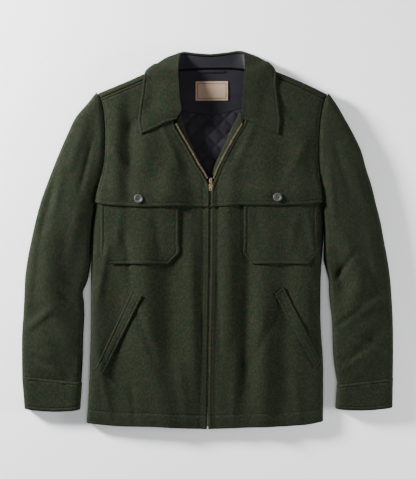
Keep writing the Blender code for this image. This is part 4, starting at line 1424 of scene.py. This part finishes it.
# %% Lines on the cloth
def edge_line(name, edge, distance, lift=0.0, lowest=3.0):
    """Points of a piece at a distance in from one of its edges, in mm."""
    made = pieces[name]
    reach = edge_reach(made["across"], made["down"])[edge]
    grid = made["grid"]
    if edge in ("top", "bottom"):
        reach, grid = reach.T, grid.transpose(1, 0, 2)
    line = []
    for far, row in zip(reach, grid):
        order = np.argsort(far)
        spot = [np.interp(distance, far[order], row[order, k]) for k in range(3)]
        spot[2] += lift
        if spot[2] > lowest:
            line.append(spot)
    return line


SINK = -0.05
lines = []
for n in SIDES:
    for edge, distance in (("left", 8), ("bottom", 7), ("right", 7), ("top", 6)):
        lines.append(edge_line("cloth_yoke_" + n, edge, distance, SINK))
    lines.append(edge_line("cloth_front_" + n, "left", 7, SINK))
    lines.append(edge_line("cloth_front_" + n, "bottom", HEM_LINE, SINK))
    for edge in ("left", "right", "bottom"):
        lines.append(edge_line("cloth_chest_pocket_" + n, edge, 7, SINK)[2:-2])
    for edge, distance in (("left", 5), ("right", 5), ("top", 4), ("bottom", 4)):
        lines.append(edge_line("cloth_welt_" + n, edge, distance, SINK)[3:-3])
    for edge, distance in (("top", 5), ("bottom", 6)):
        lines.append(edge_line("cloth_cuff_" + n, edge, distance, SINK))
for edge in ("right", "top", "bottom"):
    lines.append(edge_line("cloth_collar", edge, 6.5, SINK, 10.0)[3:-3])
stitch_tree = repeat_tree("stitch_row", thread, False)
stitches = repeated("topstitching", lines, stitch_tree, 3.6, (2.7, 0.75, 0.5))

# %% Zip teeth along the open sides and in the closed part
tooth_tree = repeat_tree("zip_teeth", brass, True)
for n in SIDES:
    line = edge_line("cloth_zip_tape_" + n, "left", 2.4, 0.7)
    repeated("zip_teeth_" + n, [line], tooth_tree, 1.9, (1.0, 3.2, 1.8))
line = edge_line("cloth_zip_chain", "left", 3.0, -0.3)
repeated("zip_teeth_closed", [line], tooth_tree, 1.5, (0.9, 4.2, 1.0))

# %% [markdown]
# ## Buttons
# A button is turned on a lathe: one outline swept round, with four thread holes cut
# through its dished middle, and two bars of thread. The buttonhole above it is a slit
# bound with close stitches.

# %% Turn a button and sew it on
BUTTON_OUTLINE = (
    (0, 1.9), (3.6, 1.9), (4.6, 2.0), (5.4, 2.4), (6.0, 2.9), (6.7, 3.2), (7.6, 3.3),
    (8.4, 3.1), (8.9, 2.7), (9.1, 2.0), (8.9, 1.3), (8.2, 0.7), (6.0, 0.0), (0, 0.0),
)
HOLE_PLACE = 1.35
HOLE_RADIUS = 0.75
BAR_HEIGHT = 2.0
SLIT_POINTS = 28


def make_button(name, side):
    x, y, lay = side["button"]
    z = float(height(x, y)) + WOOL + LAY + POCKET_LIFT + lay
    mesh = bpy.data.meshes.new(name)
    count = len(BUTTON_OUTLINE)
    mesh.from_pydata([(r * MM, 0, h * MM) for r, h in BUTTON_OUTLINE],
                     [(i, i + 1) for i in range(count - 1)], [])
    button = bpy.data.objects.new(name, mesh)
    bpy.context.scene.collection.objects.link(button)
    screw = button.modifiers.new("Turn", "SCREW")
    screw.steps = screw.render_steps = 40
    screw.use_merge_vertices = True
    screw.merge_threshold = 0.00001
    holes = []
    for a in (-1, 1):
        for b in (-1, 1):
            bpy.ops.mesh.primitive_cylinder_add(
                radius=HOLE_RADIUS * MM, depth=8 * MM, vertices=16,
                location=(a * HOLE_PLACE * MM, b * HOLE_PLACE * MM, 0))
            holes.append(bpy.context.object)
            cut = button.modifiers.new("Hole", "BOOLEAN")
            cut.operation = "DIFFERENCE"
            cut.object = holes[-1]
    freeze_plain(button)
    for hole in holes:
        bpy.data.objects.remove(hole, do_unlink=True)
    button.data.transform(Matrix.Translation(Vector((x, y, z)) * MM))
    button.data.materials.clear()
    button.data.materials.append(horn)
    button.data.shade_smooth()
    button.data.set_sharp_from_angle(angle=math.radians(40))
    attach(button, "garment")
    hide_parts(name.replace("turned_", ""))
    bars = [[(x + a * HOLE_PLACE, y + b * HOLE_PLACE, z + BAR_HEIGHT) for b in (-1, 0, 1)]
            for a in (-1, 1)]
    repeated(name + "_thread", bars, stitch_tree, 0.45, (0.9, 0.9, 0.8))
    return x, y


for n, side in SIDES.items():
    x, y = make_button("turned_button_" + n, side)
    slit = []
    for k in range(SLIT_POINTS):
        angle = 2 * math.pi * k / SLIT_POINTS
        px, py = x + 1.1 * math.cos(angle), y + 8.0 + 8.5 * math.sin(angle)
        low = float(table(side["flap_edge"], px))
        rise = float(1 - ease(low + FLAP, low + FLAP + FLAP_RAMP, py))
        top = float(height(px, py)) + rise * (WOOL + LAY + float(over_pocket(side, px)))
        slit.append((px, py, top + 0.15))
    bound = repeated("buttonhole_" + n, [slit], stitch_tree, 0.7, (0.7, 1.9, 0.7), closed=True)

# %% Metal finish of the slider and the pull tab
for name in ("slider", "pull_tab"):
    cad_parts[name].material_slots[0].material = brass
    print(name, "in", brass.name)

# %% [markdown]
# ## Stage, light and camera
# The jacket was photographed on white from straight above. One strong light comes low from
# the upper left, so that each fold has a light side and a dark one. A weaker one lifts the
# right sleeve and a wide one above fills the shadows.

# %% Floor
floor_mesh = bpy.data.meshes.new("floor")
floor_mesh.from_pydata([(-3, -3, 0), (3, -3, 0), (3, 3, 0), (-3, 3, 0)], [], [(0, 1, 2, 3)])
floor = bpy.data.objects.new("floor", floor_mesh)
bpy.context.scene.collection.objects.link(floor)
floor_mesh.materials.append(plain("pale_floor", (0.93, 0.93, 0.93), 0.9))
print("floor:", floor.name)


# %% Lights
def area_light(name, place, size, power):
    light = bpy.data.lights.new(name, "AREA")
    light.shape = "DISK"
    light.size = size
    light.energy = power
    made = bpy.data.objects.new(name, light)
    bpy.context.scene.collection.objects.link(made)
    made.location = place
    made.rotation_euler = (-Vector(place)).to_track_quat("-Z", "Y").to_euler()


area_light("key", (-2.0, 1.0, 0.8), 0.5, 290)
area_light("side", (2.1, -0.3, 0.6), 0.6, 60)
area_light("fill", (0.2, -0.5, 2.6), 2.2, 26)
world = bpy.data.worlds.new("room")
world.use_nodes = True
world.node_tree.nodes["Background"].inputs["Color"].default_value = (0.9, 0.93, 1.0, 1)
world.node_tree.nodes["Background"].inputs["Strength"].default_value = 0.2
bpy.context.scene.world = world

# %% Camera straight above, at the photo's framing
PIXEL = 2.07 * MM
camera_data = bpy.data.cameras.new("camera")
camera_data.lens = 85
camera_data.sensor_width = 36
camera = bpy.data.objects.new("camera", camera_data)
bpy.context.scene.collection.objects.link(camera)
PHOTO_HEIGHT = 479
TOP_OF_CLOTH = 27 * MM
frame_height = PHOTO_HEIGHT * PIXEL
distance = frame_height * camera_data.lens / camera_data.sensor_width
camera.location = (0, 0, distance + TOP_OF_CLOTH)
bpy.context.scene.camera = camera
print("camera", round(camera.location.z, 3), "m above the surface")
